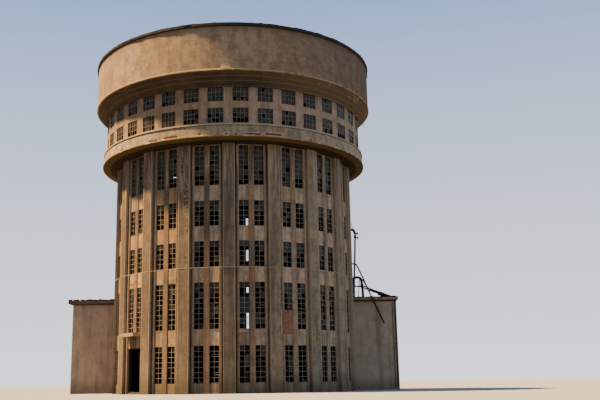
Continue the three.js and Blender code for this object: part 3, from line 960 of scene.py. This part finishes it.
# Steel windows
sash = {
    "frameWidth": 0.028,
    "barWidth": 0.042,
    "barDepth": 0.026,
    "plate": 0.01,
    "crossBarBack": 0.001,
    "setBack": 0.03,
    "glassThickness": 0.006,
    "glassBack": 0.004,
    "variants": 4,
    "lostBars": 0.07,
    "jagged": 0.08,
}
shaft = {
    "bays": 18,
    "columns": 2,
    "face": 12.05,
    "inner": 0.27,
    "outer": 1.18,
    "rows": {"ground": (0.93, 4.25, 7), "tall": (5.73, 10.0, 9), "lower": (11.45, 13.85, 5),
             "middle": (15.27, 17.69, 5), "top": (19.17, 23.03, 8)},
    "doorways": (6, 13, 16),    # bays that are open down to the floor
    "infilledBay": 2,
    "infillTop": 7.58,
    "infillPanes": 5,
    "farBays": range(6, 14),    # bays out of sight of the camera
    "seed": 7,
}
gallery = {
    "faces": 36,
    "columns": 4,
    "face": 13.6,
    "width": 1.5,
    "rows": {"under": (24.79, 26.25), "over": (26.91, 28.3)},
    "panes": 3,
    "clearFaces": (14, 17, 21),    # far faces with open panes in their lower windows
    "farFaces": range(12, 24),
    "seed": 8,
}

# Chance that a pane is still there, from the top of the window to its bottom
paneLeft = {
    "top": (0.97, 0.93, 0.9, 0.85, 0.78, 0.7, 0.55, 0.4),
    "middle": (0.85, 0.3, 0.12, 0.08, 0.08),
    "lower": (0.88, 0.4, 0.12, 0.08, 0.1),
    "tall": (0.85, 0.5, 0.34, 0.22, 0.24, 0.18, 0.2, 0.18, 0.1),
    "ground": (0.35, 0.15, 0.1, 0.05, 0.05, 0.05, 0.05),
    "over": (0.97, 0.95, 0.88),
    "under": (0.92, 0.84, 0.45),
    "farShaft": 0.99,
    "farGallery": 1.1,
    "clearGallery": (1, 0.2, -1),
}
# The same for the windows that light shows through, by bay and side: over 1 is always there, -1 always lost
clearTop = (1, 1, 0.8, 0.9, 0.7, 0.7, 0.1, -1)
clearWindows = {
    (9, 1): {"tall": (0.0,) * 9, "lower": (0.0,) * 5, "middle": (1.1, 1.1, 0, 0, 0),
             "top": (1.1,) * 5 + (0, 0, 0)},
    (1, -1): {"tall": (0.85, -1, -1, 1, 1, 0.9, -1, 0.1, -1), "lower": (1.1, 0.3, -1, -1, -1),
              "middle": (1.1, 0.6, 0.3, -1, -1), "top": (1, 1, 0.8, 0.9, 0.7, 0.7, 0.6, -1)},
    (2, 1): {"top": clearTop},
    (17, 1): {"top": clearTop},
}


# One length of T-section bar along Z, its flat side to the front
def makeBar():
    bm = bmesh.new()
    half, plate = sash["barWidth"] / 2, sash["plate"]
    addBlock(bm, (-half, 0, 0), (half, plate, 1))
    addBlock(bm, (-plate / 2, plate, 0), (plate / 2, sash["barDepth"], 1))
    return asMesh("windowBar", bm)


def makeFrame(width, height):
    bm = bmesh.new()
    edge, depth = sash["frameWidth"], sash["barDepth"]
    addBlock(bm, (0, 0, 0), (edge, depth, height))
    addBlock(bm, (width - edge, 0, 0), (width, depth, height))
    addBlock(bm, (edge, 0, 0), (width - edge, depth, edge))
    addBlock(bm, (edge, 0, height - edge), (width - edge, depth, height))
    return asMesh("frame", bm)


def paneSize(columns, rows, width, height):
    edge = sash["frameWidth"]
    return (width - 2 * edge) / columns, (height - 2 * edge) / rows


def makeSash(columns, rows, width, height, rng):
    bm = bmesh.new()
    edge = sash["frameWidth"]
    across, up = paneSize(columns, rows, width, height)
    lengthen = Matrix.Diagonal((1, 1, height - 2 * edge, 1))
    lie = turn("Y", 90) @ Matrix.Diagonal((1, 1, across - sash["plate"], 1))
    for i in range(1, columns):
        stamp(bm, barUnit, Matrix.Translation((edge + i * across, 0, edge)) @ lengthen)
    for j in range(1, rows):
        for i in range(columns):
            if rng.random() < sash["lostBars"]:
                continue
            start = (edge + i * across + sash["plate"] / 2, sash["crossBarBack"], edge + j * up)
            stamp(bm, barUnit, Matrix.Translation(start) @ lie)
    return asMesh("sash", bm)


# A whole pane and three broken ones, one metre each way
def makePanes():
    outlines = [
        [(0, 0), (1, 0), (1, 1), (0, 1)],
        [(0, 0), (1, 0), (1, 0.72), (0.82, 0.35), (0.6, 0.5), (0.35, 0.18), (0, 0.4)],
        [(0, 0), (1, 0), (0.7, 0.22), (0.52, 0.16), (0.3, 0.55), (0.16, 0.5), (0, 1)],
        [(0, 0), (1, 0), (1, 1), (0.6, 1), (0.66, 0.66), (0.3, 0.42), (0.14, 0.5), (0, 0.3)],
    ]
    return [plateMesh(outline, 1.0) for outline in outlines]


def addGlass(bm, spot, chances, columns, width, height, rng):
    edge, gap = sash["frameWidth"], sash["plate"] / 2
    across, up = paneSize(columns, len(chances), width, height)
    size = Matrix.Diagonal((across - 2 * gap, sash["glassThickness"], up - 2 * gap, 1))
    for j, chance in enumerate(chances):
        for i in range(columns):
            drawn = rng.random()
            if drawn > chance + sash["jagged"]:
                continue
            unit = wholePane if drawn < chance else brokenPanes[int(rng.random() * len(brokenPanes))]
            left, low = edge + i * across + gap, height - edge - (j + 1) * up + gap
            corner = Matrix.Translation((left, sash["plate"] + sash["glassBack"], low))
            stamp(bm, unit, spot @ corner @ size)


barUnit = makeBar()
wholePane, *brokenPanes = makePanes()


def bayAngle(bay):
    return (bay - 0.5) * 360 / shaft["bays"]


def faceAngle(face):
    return (face + 0.5) * 360 / gallery["faces"]


# Every window of the shaft, as its bay, side, row, bottom, top and number of panes up
def shaftWindows():
    for bay in range(1, shaft["bays"] + 1):
        for row, (bottom, top, panes) in shaft["rows"].items():
            for side in (-1, 1):
                if row == "ground" and bay in shaft["doorways"]:
                    continue
                if bay == shaft["infilledBay"] and row == "tall" and side == -1:
                    yield bay, side, row, shaft["infillTop"], top, shaft["infillPanes"]
                else:
                    yield bay, side, row, bottom, top, panes


def shaftSpot(bay, side, out, z):
    return wallSpot(bayAngle(bay), shaft["inner"] if side == 1 else -shaft["outer"], out, z)


def shaftPanes(bay, side, row, panes):
    if row in clearWindows.get((bay, side), {}):
        return clearWindows[bay, side][row][:panes]
    if bay in shaft["farBays"]:
        return [paneLeft["farShaft"]] * panes
    return paneLeft[row][:panes]


def galleryPanes(face, row):
    if face in gallery["clearFaces"] and row == "under":
        return paneLeft["clearGallery"]
    if face in gallery["farFaces"]:
        return [paneLeft["farGallery"]] * gallery["panes"]
    return paneLeft[row]


# Sashes, frames and glass of a list of windows, each as its place, bottom, top and chances of its panes
def addWindows(name, windows, columns, width, seed):
    rng = random.Random(seed)
    kinds, edges = {}, {}
    steel, frames, glass = bmesh.new(), bmesh.new(), bmesh.new()
    for spot, bottom, top, chances in windows:
        kind = (bottom, top, rng.randrange(sash["variants"]))
        if kind not in kinds:
            kinds[kind] = makeSash(columns, len(chances), width, top - bottom, rng)
            edges[bottom, top] = makeFrame(width, top - bottom)
        stamp(steel, kinds[kind], spot)
        stamp(frames, edges[bottom, top], spot)
        addGlass(glass, spot, chances, columns, width, top - bottom, rng)
    addPiece(name + "Sashes", steel, "bars")
    addPiece(name + "Frames", frames, "steel")
    addPiece(name + "Panes", glass, "glass")


def addAllWindows():
    inShaft, inGallery = [], []
    for bay, side, row, bottom, top, panes in shaftWindows():
        spot = shaftSpot(bay, side, shaft["face"] - sash["setBack"], bottom)
        inShaft.append((spot, bottom, top, shaftPanes(bay, side, row, panes)))
    for face in range(gallery["faces"]):
        for row, (bottom, top) in gallery["rows"].items():
            spot = wallSpot(faceAngle(face), -gallery["width"] / 2, gallery["face"] - sash["setBack"], bottom)
            inGallery.append((spot, bottom, top, galleryPanes(face, row)))
    addWindows("shaft", inShaft, shaft["columns"], shaft["outer"] - shaft["inner"], shaft["seed"])
    addWindows("gallery", inGallery, gallery["columns"], gallery["width"], gallery["seed"])


addAllWindows()
print("windows made")


# Sills of the shaft and the gallery; those of the gallery are wider than their windows
sills = {
    "thick": 0.045, "proud": 0.022, "deep": 0.062, "above": 0.012, "wider": 0.04, "lost": 0.25, "seed": 11,
}


def addSills():
    rng = random.Random(sills["seed"])
    bm = bmesh.new()
    unit = blockMesh((0, 0, 0), (1, 1, 1))
    size = Matrix.Diagonal((shaft["outer"] - shaft["inner"], sills["deep"], sills["thick"], 1))
    for bay, side, row, bottom, top, panes in shaftWindows():
        if row == "ground" or bottom == shaft["infillTop"] or rng.random() < sills["lost"]:
            continue
        low = bottom - sills["thick"] + sills["above"]
        stamp(bm, unit, shaftSpot(bay, side, shaft["face"] + sills["proud"], low) @ size)
    size = Matrix.Diagonal((gallery["width"] + 2 * sills["wider"], sills["deep"], sills["thick"], 1))
    left = -gallery["width"] / 2 - sills["wider"]
    for face in range(gallery["faces"]):
        for bottom, top in gallery["rows"].values():
            spot = wallSpot(faceAngle(face), left, gallery["face"] + sills["proud"], bottom - sills["thick"])
            stamp(bm, unit, spot @ size)
    addPiece("windowSills", bm, "trim")


addSills()
print("sills made")


# The strap round the shaft: flat on each pier, straight across each bay
strap = {"height": 11.33, "width": 0.04, "thick": 0.014, "gap": 0.001, "pierHalf": 0.56, "pierFace": 12.5}


def addStrap():
    bm = bmesh.new()
    bayHalf = 180 / shaft["bays"]
    sine, cosine = math.sin(math.radians(bayHalf)), math.cos(math.radians(bayHalf))
    reach = strap["pierFace"] * sine - strap["pierHalf"] * cosine
    chord = strap["pierFace"] * cosine + strap["pierHalf"] * sine
    low, high = strap["height"] - strap["width"] / 2, strap["height"] + strap["width"] / 2
    for bay in range(1, shaft["bays"] + 1):
        acrossBay = (bayAngle(bay), reach, chord)
        onPier = (bayAngle(bay) + bayHalf, strap["pierHalf"], strap["pierFace"])
        for angle, along, face in (acrossBay, onPier):
            length = blockMesh((-along, -strap["thick"] - strap["gap"], low), (along, -strap["gap"], high))
            stamp(bm, length, wallSpot(angle, 0, face, 0))
    addPiece("shaftStrap", bm, "strap")


addStrap()
print("strap made")


# Bricks of the half-filled window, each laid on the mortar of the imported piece, and the bricks beside it on
# the pier, in its groove and on its shoulder: from its middle to their sides, and where their backs are
bricks = {
    "left": -1.172, "right": -0.278, "bottom": 5.3, "top": 7.44, "face": 12.07, "length": 0.24,
    "height": 0.071, "joint": 0.012, "proud": 0.012, "inMortar": 0.02, "shortest": 0.04, "bevel": 0.005,
    "missing": 0.03, "pier": 20.0, "beside": [(0.572, 0.69, 12.1), (0.702, 0.9, 12.202)],
    "besideFace": 12.222, "seed": 5,
}
# The outline of the mortar that ran down beside the window, and how far it stands off the pier
slip = {
    "outline": [(0.46, 5.3), (0.545, 5.28), (0.552, 5.9), (0.548, 6.6), (0.552, 7.42), (0.5, 7.36),
                (0.49, 6.9), (0.46, 6.3), (0.49, 5.9), (0.45, 5.6)],
    "thick": 0.02,
    "off": 0.021,
}


def addBricks():
    rng = random.Random(bricks["seed"])
    bm = bmesh.new()
    course = bricks["height"] + bricks["joint"]
    courses = [bricks["bottom"] + j * course for j in range(int((bricks["top"] - bricks["bottom"]) / course))]
    for j, low in enumerate(courses):
        high = low + bricks["height"]
        start = bricks["left"] - (j % 2) * bricks["length"] / 2
        while start < bricks["right"] - bricks["joint"]:
            left, right = max(start, bricks["left"]), min(start + bricks["length"], bricks["right"])
            if right - left > bricks["shortest"] and rng.random() > bricks["missing"]:
                out = bricks["proud"] * (0.5 + 0.5 * rng.random())
                addBlock(bm, (left, -out, low), (right, bricks["inMortar"], high), bricks["bevel"])
            start += bricks["length"] + bricks["joint"]
    infill = wallSpot(bayAngle(shaft["infilledBay"]), 0, bricks["face"], 0)
    bmesh.ops.transform(bm, matrix=infill, verts=bm.verts)
    for low in courses:
        high = low + bricks["height"]
        for left, right, back in bricks["beside"]:
            out = bricks["besideFace"] - bricks["proud"] * rng.random()
            brick = blockMesh((left, -out, low), (right, -back, high), bricks["bevel"])
            stamp(bm, brick, turn("Z", bricks["pier"]))
    addPiece("infillBricks", bm, "brick")


def addMortarSlip():
    bm = bmesh.new()
    spot = wallSpot(bricks["pier"], 0, strap["pierFace"] + slip["off"], 0)
    stamp(bm, plateMesh(slip["outline"], slip["thick"]), spot)
    addPiece("mortarSlip", bm, "slip")


addBricks()
addMortarSlip()
print("brickwork made")


# Round pieces: profiles of (radius, height) that are spun about the axis
profiles = {
    "ring": [
        (11.71, 23.1203), (12.56, 23.1203), (13.3, 23.228), (13.99, 23.33), (14.05, 23.35), (14.05, 23.4),
        (14.05, 23.45), (13.96, 23.49), (13.957, 23.54), (13.954, 23.59), (13.951, 23.64), (13.948, 23.69),
        (13.945, 23.76), (13.941, 23.85), (13.935, 23.95), (13.9, 24.49), (13.97, 24.51), (13.97, 24.61),
        (13.2, 24.61), (13.2, 23.55), (11.71, 23.55),
    ],
    "corbel": [
        (13.2, 28.3103), (13.73, 28.3103), (13.73, 28.46), (13.68, 28.5), (13.85, 28.635), (14.03, 28.78),
        (14.03, 28.85), (14.2, 28.985), (14.37, 29.13), (14.37, 29.2), (14.52, 29.345), (14.67, 29.5),
        (14.67, 29.56), (13.2, 29.56),
    ],
    "drum": [
        (14.53, 29.5603), (14.84, 29.5603), (14.84, 29.615), (14.84, 29.67), (14.78, 29.71), (14.78, 30.3),
        (14.78, 31.1), (14.78, 32.0), (14.78, 33.0), (14.78, 33.95), (14.53, 33.95),
    ],
    "cornice": [
        (14.53, 33.9503), (14.83, 33.9503), (14.919, 34.04), (14.919, 34.12), (14.919, 34.2), (14.53, 34.2),
    ],
    "roof": [
        (0, 34.5003), (14.23, 34.2003), (14.86, 34.2003), (14.86, 34.3003), (10.0, 34.45), (5.0, 34.61),
        (0, 34.7503),
    ],
}
# Where their edges are worn: from which radius outwards, up to which height, the breaks' size, how common
# they are, their seed, their share and their depth
wear = {
    "ring": (13.89, 23.46, 0.7, 0.5, 3.0, 0.3, 0.06),
    "corbel": (13.6, 29.55, 0.35, 0.52, 5.0, 1, 0.03),
    "drum": (14.8, 29.7, 0.6, 0.7, 2.0, 1, 0.045),
    "cornice": (14.9, 35.0, 1.2, 0.75, 8.0, 1, 0.04),
    "roof": (15.0, 0, 1, 0, 0, 0, 0),    # no part of the roof reaches that radius, so none is worn
}
# Places where the ring's face has fallen off: from one compass angle to another, height and half height
spalls = {
    "upTo": 23.95,
    "deep": 0.045,
    "reach": 1.5,    # how many half heights a break takes to fade out
    "strength": 1.6,
    "places": [
        (-33.6, -28.5, 23.55, 0.09), (-26.5, -19.5, 23.6, 0.1), (-12, -10.2, 23.62, 0.11),
        (-1.6, 0.2, 23.6, 0.09), (2.3, 4.0, 23.56, 0.07), (6.3, 13.0, 23.6, 0.09), (14.0, 21.4, 23.66, 0.1),
        (33, 35, 23.58, 0.08), (-52, -49, 23.56, 0.08), (74, 80, 23.6, 0.09), (128, 139, 23.62, 0.1),
        (196, 203, 23.58, 0.09), (-112, -104, 23.6, 0.09),
    ],
}
spin = {"steps": 480, "merge": 0.0001, "axisWithin": 1.0, "sharpAngle": 28}
# The noise behind the breaks: radius that it is read at, size and share of its broad part, and its contrast
breaks = {"radius": 14, "broadSize": 0.18, "broadShare": 0.9, "contrast": 3.2}


# How far a spot round the tower is broken away, from 0 to 1
def breakage(angle, z, size, common, seed):
    around = breaks["radius"]
    spot = Vector((math.sin(angle) * around / size, -math.cos(angle) * around / size, z / size + seed))
    broad = noise.noise(spot * breaks["broadSize"] + Vector((seed, 0, 0))) * breaks["broadShare"]
    return max(0.0, min(1.0, (noise.noise(spot) + broad - 1.0 + common) * breaks["contrast"]))


def spallDepth(angle, z):
    degrees = math.degrees(angle)
    deepest = 0.0
    for start, end, height, half in spalls["places"]:
        inside = min((degrees - start) % 360, (end - degrees) % 360)
        if inside <= end - start:
            ragged = 0.75 + 0.6 * noise.noise(Vector((degrees * 1.1, z * 9, start)))
            nearness = min(1.0, inside * 2) * max(0.0, 1 - abs(z - height) / (spalls["reach"] * half))
            deepest = max(deepest, nearness * ragged)
    return min(1.0, deepest * spalls["strength"])


# Share and depth of the wear at one vertex of a round piece
def wornAt(kind, radius, angle, z):
    outwards, upTo, size, common, seed, share, deep = wear[kind]
    if radius >= outwards and z <= upTo:
        return breakage(angle, z, size, common, seed) * share, deep
    if radius >= outwards and kind == "ring" and z <= spalls["upTo"]:
        return spallDepth(angle, z), spalls["deep"]
    return 0.0, 0.0


def addRound(name, kind, finish, stands):
    bm = bmesh.new()
    profile = profiles[kind]
    made = [bm.verts.new((0, -radius, z)) for radius, z in profile]
    edges = [bm.edges.new(pair) for pair in zip(made, made[1:])]
    if profile[0][0] > 0:
        edges.append(bm.edges.new((made[-1], made[0])))
    bmesh.ops.spin(bm, geom=made + edges, cent=(0, 0, 0), axis=(0, 0, 1), dvec=(0, 0, 0),
                   angle=math.radians(360), steps=spin["steps"], use_merge=True, use_duplicate=False)
    bmesh.ops.remove_doubles(bm, verts=bm.verts, dist=spin["merge"])
    bmesh.ops.recalc_face_normals(bm, faces=bm.faces)
    layer = bm.verts.layers.float.new("spall")
    for vert in bm.verts:
        radius = math.hypot(vert.co.x, vert.co.y)
        amount, deep = wornAt(kind, radius, math.atan2(vert.co.x, -vert.co.y), vert.co.z)
        vert[layer] = amount
        if amount > 0 and radius > spin["axisWithin"]:
            vert.co.x *= (radius - deep * amount) / radius
            vert.co.y *= (radius - deep * amount) / radius
    addPiece(name, bm, finish, [stands], spin["sharpAngle"])


# Curled strips of roofing along the drum's top edge
rimFelt = {
    "parts": 230, "inner": 14.79, "outer": 14.915, "foot": 34.201, "rise": 0.13, "inwards": 0.03,
    "lost": 0.12, "seed": 31,
}


def addRimFelt():
    rng = random.Random(rimFelt["seed"])
    bm = bmesh.new()
    step = 360 / rimFelt["parts"]
    half = math.tan(math.radians(step / 2)) * rimFelt["inner"]
    for i in range(rimFelt["parts"]):
        rise = rimFelt["rise"] * (0.25 + 0.75 * rng.random())
        if rng.random() < rimFelt["lost"]:
            continue
        front = rimFelt["inwards"] * rng.random() - rimFelt["outer"]
        strip = blockMesh((-half, front, rimFelt["foot"]), (half, -rimFelt["inner"], rimFelt["foot"] + rise))
        stamp(bm, strip, turn("Z", i * step))
    addPiece("rimFelt", bm, "cap")


addRound("ringBeam", "ring", "ring", "ring_beam")
addRound("drumCorbel", "corbel", "corbel", "drum_corbel")
addRound("drumWall", "drum", "drum", "tank_wall")
addRound("drumCornice", "cornice", "cap", "cornice")
addRound("drumRoof", "roof", "cap", "tank_roof")
addRimFelt()
print("round pieces made")


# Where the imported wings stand; gap and fine keep the trim clear of them
wings = {
    "front": 2.0, "slabFront": 1.65, "slabUnder": 9.4695, "slabTop": 9.8, "gap": 0.001, "fine": 0.0005,
    "right": {"start": 12.62, "slabEnd": 17.55},
    "left": {"start": -12.62, "end": -17.5, "slabEnd": -17.95},
}
eavesStep = {"drop": 0.09, "reach": 0.26, "past": 0.2, "bevel": 0.012}


# The step under the left wing's eaves
def addEavesStep():
    bm = bmesh.new()
    left, front, under = wings["left"], wings["front"], wings["slabUnder"]
    addBlock(bm, (left["end"] - eavesStep["past"], front - eavesStep["reach"], under - eavesStep["drop"]),
             (left["start"], front - wings["fine"], under - wings["fine"]), eavesStep["bevel"])
    addPiece("eavesStep", bm, "wingWall")


# Torn roofing on the front edges of both wings' slabs
felt = {
    "hang": 0.06, "step": 0.22, "thick": 0.025, "rise": 0.11, "riseShare": {"left": 1.0, "right": 0.4},
    "clear": 0.2, "shortest": 0.01, "inwards": 0.25, "raggedBy": 0.3, "seed": 21,
}


def addFelt():
    rng = random.Random(felt["seed"])
    bm = bmesh.new()
    front, top, gap = wings["slabFront"], wings["slabTop"], wings["gap"]
    for side in ("left", "right"):
        wing = wings[side]
        x, high = sorted((wing["start"] + math.copysign(felt["clear"], wing["start"]), wing["slabEnd"]))
        while x < high - felt["shortest"]:
            end = x + min(felt["step"] * (0.6 + rng.random()), high - x)
            hang = felt["hang"] * (0.2 + rng.random())
            lift = felt["rise"] * (0.3 + rng.random()) * felt["riseShare"][side]
            back = front + felt["inwards"] + felt["raggedBy"] * rng.random()
            addBlock(bm, (x, front - felt["thick"], top - hang), (end, front - gap, top + lift))
            addBlock(bm, (x, front - gap, top + gap), (end, back, top + lift))
            x = end
    addPiece("eavesFelt", bm, "cap")


# The right wing's rainwater pipe with its hopper, the thin pipe beside it, and their clips
rainPipe = {
    "x": 17.2, "y": 1.86, "radius": 0.055, "top": 9.3, "foot": 0.25, "kickOut": 0.16, "kickUp": 0.15,
    "clipHalf": 0.09, "clipFront": 0.065, "clipHigh": 0.04,
}
thinPipe = {
    "x": 16.93, "y": 1.95, "radius": 0.025, "top": 9.1195, "foot": 0.25,
    "clipHalf": 0.04, "clipFront": 0.035, "clipHigh": 0.03,
}
hopper = {"place": (17.22, 1.86, 9.33), "sides": 12, "lowRadius": 0.065, "highRadius": 0.15, "depth": 0.24}
clips = (8.4, 6.6, 4.8, 3.0, 1.2)


def addRainPipes():
    bm = bmesh.new()
    pipe, thin = rainPipe, thinPipe
    bend = (pipe["x"], pipe["y"], pipe["foot"] + pipe["kickUp"])
    addTube(bm, [bend, (pipe["x"], pipe["y"], pipe["top"])], pipe["radius"])
    addTube(bm, [(pipe["x"], pipe["y"] - pipe["kickOut"], pipe["foot"]), bend], pipe["radius"])
    addTube(bm, [(thin["x"], thin["y"], thin["foot"]), (thin["x"], thin["y"], thin["top"])], thin["radius"])
    bmesh.ops.translate(bm, vec=hopper["place"], verts=addCone(bm, hopper))
    for height in clips:
        for p in (pipe, thin):
            addBlock(bm, (p["x"] - p["clipHalf"], p["y"] - p["clipFront"], height),
                     (p["x"] + p["clipHalf"], wings["front"] - wings["gap"], height + p["clipHigh"]))
    addPiece("rainPipes", bm, "steel")


addEavesStep()
addFelt()
addRainPipes()
print("wing trim made")


# Paths in a plane at one depth: the depth, then (x, z) points
def flatPath(y, *points):
    return [(x, y, z) for x, z in points]


# Steel on the right wing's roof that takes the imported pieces' places, each bar as its path and radius
mainSteel = {
    "roofMast": [
        (flatPath(2.324, (12.895, 9.8), (12.98, 12.0), (13.115, 14.2), (13.205, 16.1), (13.225, 16.7),
                  (13.16, 17.05), (13.04, 17.24), (12.8, 17.32), (12.22, 17.35)), 0.095),
        (flatPath(2.324, (13.21, 16.35), (13.223, 16.62)), 0.135),
        (flatPath(2.324, (13.222, 16.85), (13.16, 17.05), (13.04, 17.22), (12.86, 17.3)), 0.14),
    ],
    "roofPipe": [
        (flatPath(2.5, (12.89, 9.8), (12.89, 11.8), (12.97, 11.96), (13.12, 12.00), (13.52, 11.98),
                  (13.68, 11.86), (13.78, 11.5), (13.84, 10.9), (13.89, 9.8)), 0.135),
    ],
    "fallenRail": [
        ([(13.62, 2.27, 11.22), (13.86, 2.27, 10.92), (14.51, 2.29, 10.62), (15.23, 2.31, 10.33),
          (15.95, 2.31, 10.12), (16.88, 2.29, 9.87)], 0.075),
    ],
    "leaningSpar": [
        ([(12.22, 2.214, 13.44), (13.12, 2.214, 13.44), (13.24, 2.214, 13.36), (14.66, 1.57, 9.86)], 0.08),
        ([(14.66, 1.57, 9.86), (15.85, 1.02, 6.92)], 0.088),
    ],
}
# The thinner bars beside it, in the same way
secondRail = flatPath(2.62, (13.95, 11.1), (14.51, 10.86), (15.23, 10.56), (15.95, 10.32), (16.75, 9.93))
lampRods = [flatPath(2.324, (13.24, 16.74), (13.54, 16.9)), flatPath(2.324, (13.24, 16.44), (13.56, 16.34))]
thinSteel = [
    (secondRail, 0.06),
    (flatPath(2.324, (12.3, 17.92), (12.9, 17.9), (12.96, 17.42)), 0.045),
    (flatPath(2.5, (12.93, 11.05), (13.86, 11.02)), 0.075),
    (flatPath(2.5, (13.57, 11.9), (13.36, 9.81)), 0.045),
    (flatPath(2.3, (13.62, 12.02), (13.98, 11.55), (14.4, 10.72)), 0.05),
]
lamp = {"rod": 0.045, "sides": 12, "lowRadius": 0.08, "highRadius": 0.14, "depth": 0.2, "back": 0.09}
rungs = {"radius": 0.022, "back": 2.32, "leanLeft": 0.02, "down": 0.18}
flanges = {
    "sides": 16,
    "lowRadius": 0.19,
    "highRadius": 0.19,
    "depth": 0.06,
    "places": [(12.89, 2.5, 11.46), (12.89, 2.5, 10.4), (13.845, 2.5, 10.92), (12.89, 2.5, 9.83),
               (13.89, 2.5, 9.83)],
}
tornPlate = {
    "outline": [(14.55, 10.66), (14.6, 10.8), (15.25, 10.56), (15.9, 10.4), (16.4, 10.18), (16.95, 9.98),
                (17.45, 9.95), (17.5, 9.82), (16.3, 9.83), (15.85, 9.93), (15.5, 10.05), (15.45, 10.25),
                (15.1, 10.42)],
    "thick": 0.04,
    "y": 2.44,
}


def addMainSteel(name, stands, finish):
    bm = bmesh.new()
    for path, radius in mainSteel[name]:
        addTube(bm, path, radius, smooth=True)
    bmesh.ops.recalc_face_normals(bm, faces=bm.faces)
    addPiece(name, bm, finish, [stands], bars["sharpAngle"])


def addFittings(bm):
    for start, end in lampRods:
        addTube(bm, [start, end], lamp["rod"])
        reach = Vector(end) - Vector(start)
        lean = reach.to_track_quat("Z", "Y").to_matrix().to_4x4()
        spot = Matrix.Translation(Vector(end) - reach.normalized() * lamp["back"])
        bmesh.ops.transform(bm, matrix=spot @ lean, verts=addCone(bm, lamp))


def addRungs(bm):
    for start, end in zip(secondRail, secondRail[1:]):
        for share in (0.0, 0.5):
            x, y, z = Vector(start).lerp(Vector(end), share)
            foot = (x - rungs["leanLeft"], rungs["back"], z - rungs["down"])
            addTube(bm, [(x, y, z), foot], rungs["radius"])


def addThinSteel():
    bm = bmesh.new()
    addFittings(bm)
    addRungs(bm)
    plate = plateMesh(tornPlate["outline"], tornPlate["thick"])
    stamp(bm, plate, Matrix.Translation((0, tornPlate["y"], 0)))
    for path, radius in thinSteel:
        addTube(bm, path, radius)
    for place in flanges["places"]:
        bmesh.ops.translate(bm, vec=place, verts=addCone(bm, flanges))
    bmesh.ops.recalc_face_normals(bm, faces=bm.faces)
    addPiece("roofSteelwork", bm, "steel")


addMainSteel("roofMast", "roof_mast", "greySteel")
addMainSteel("roofPipe", "roof_pipe", "steel")
addMainSteel("fallenRail", "fallen_rail", "steel")
addMainSteel("leaningSpar", "leaning_spar", "steel")
addThinSteel()
print("roof steel made")
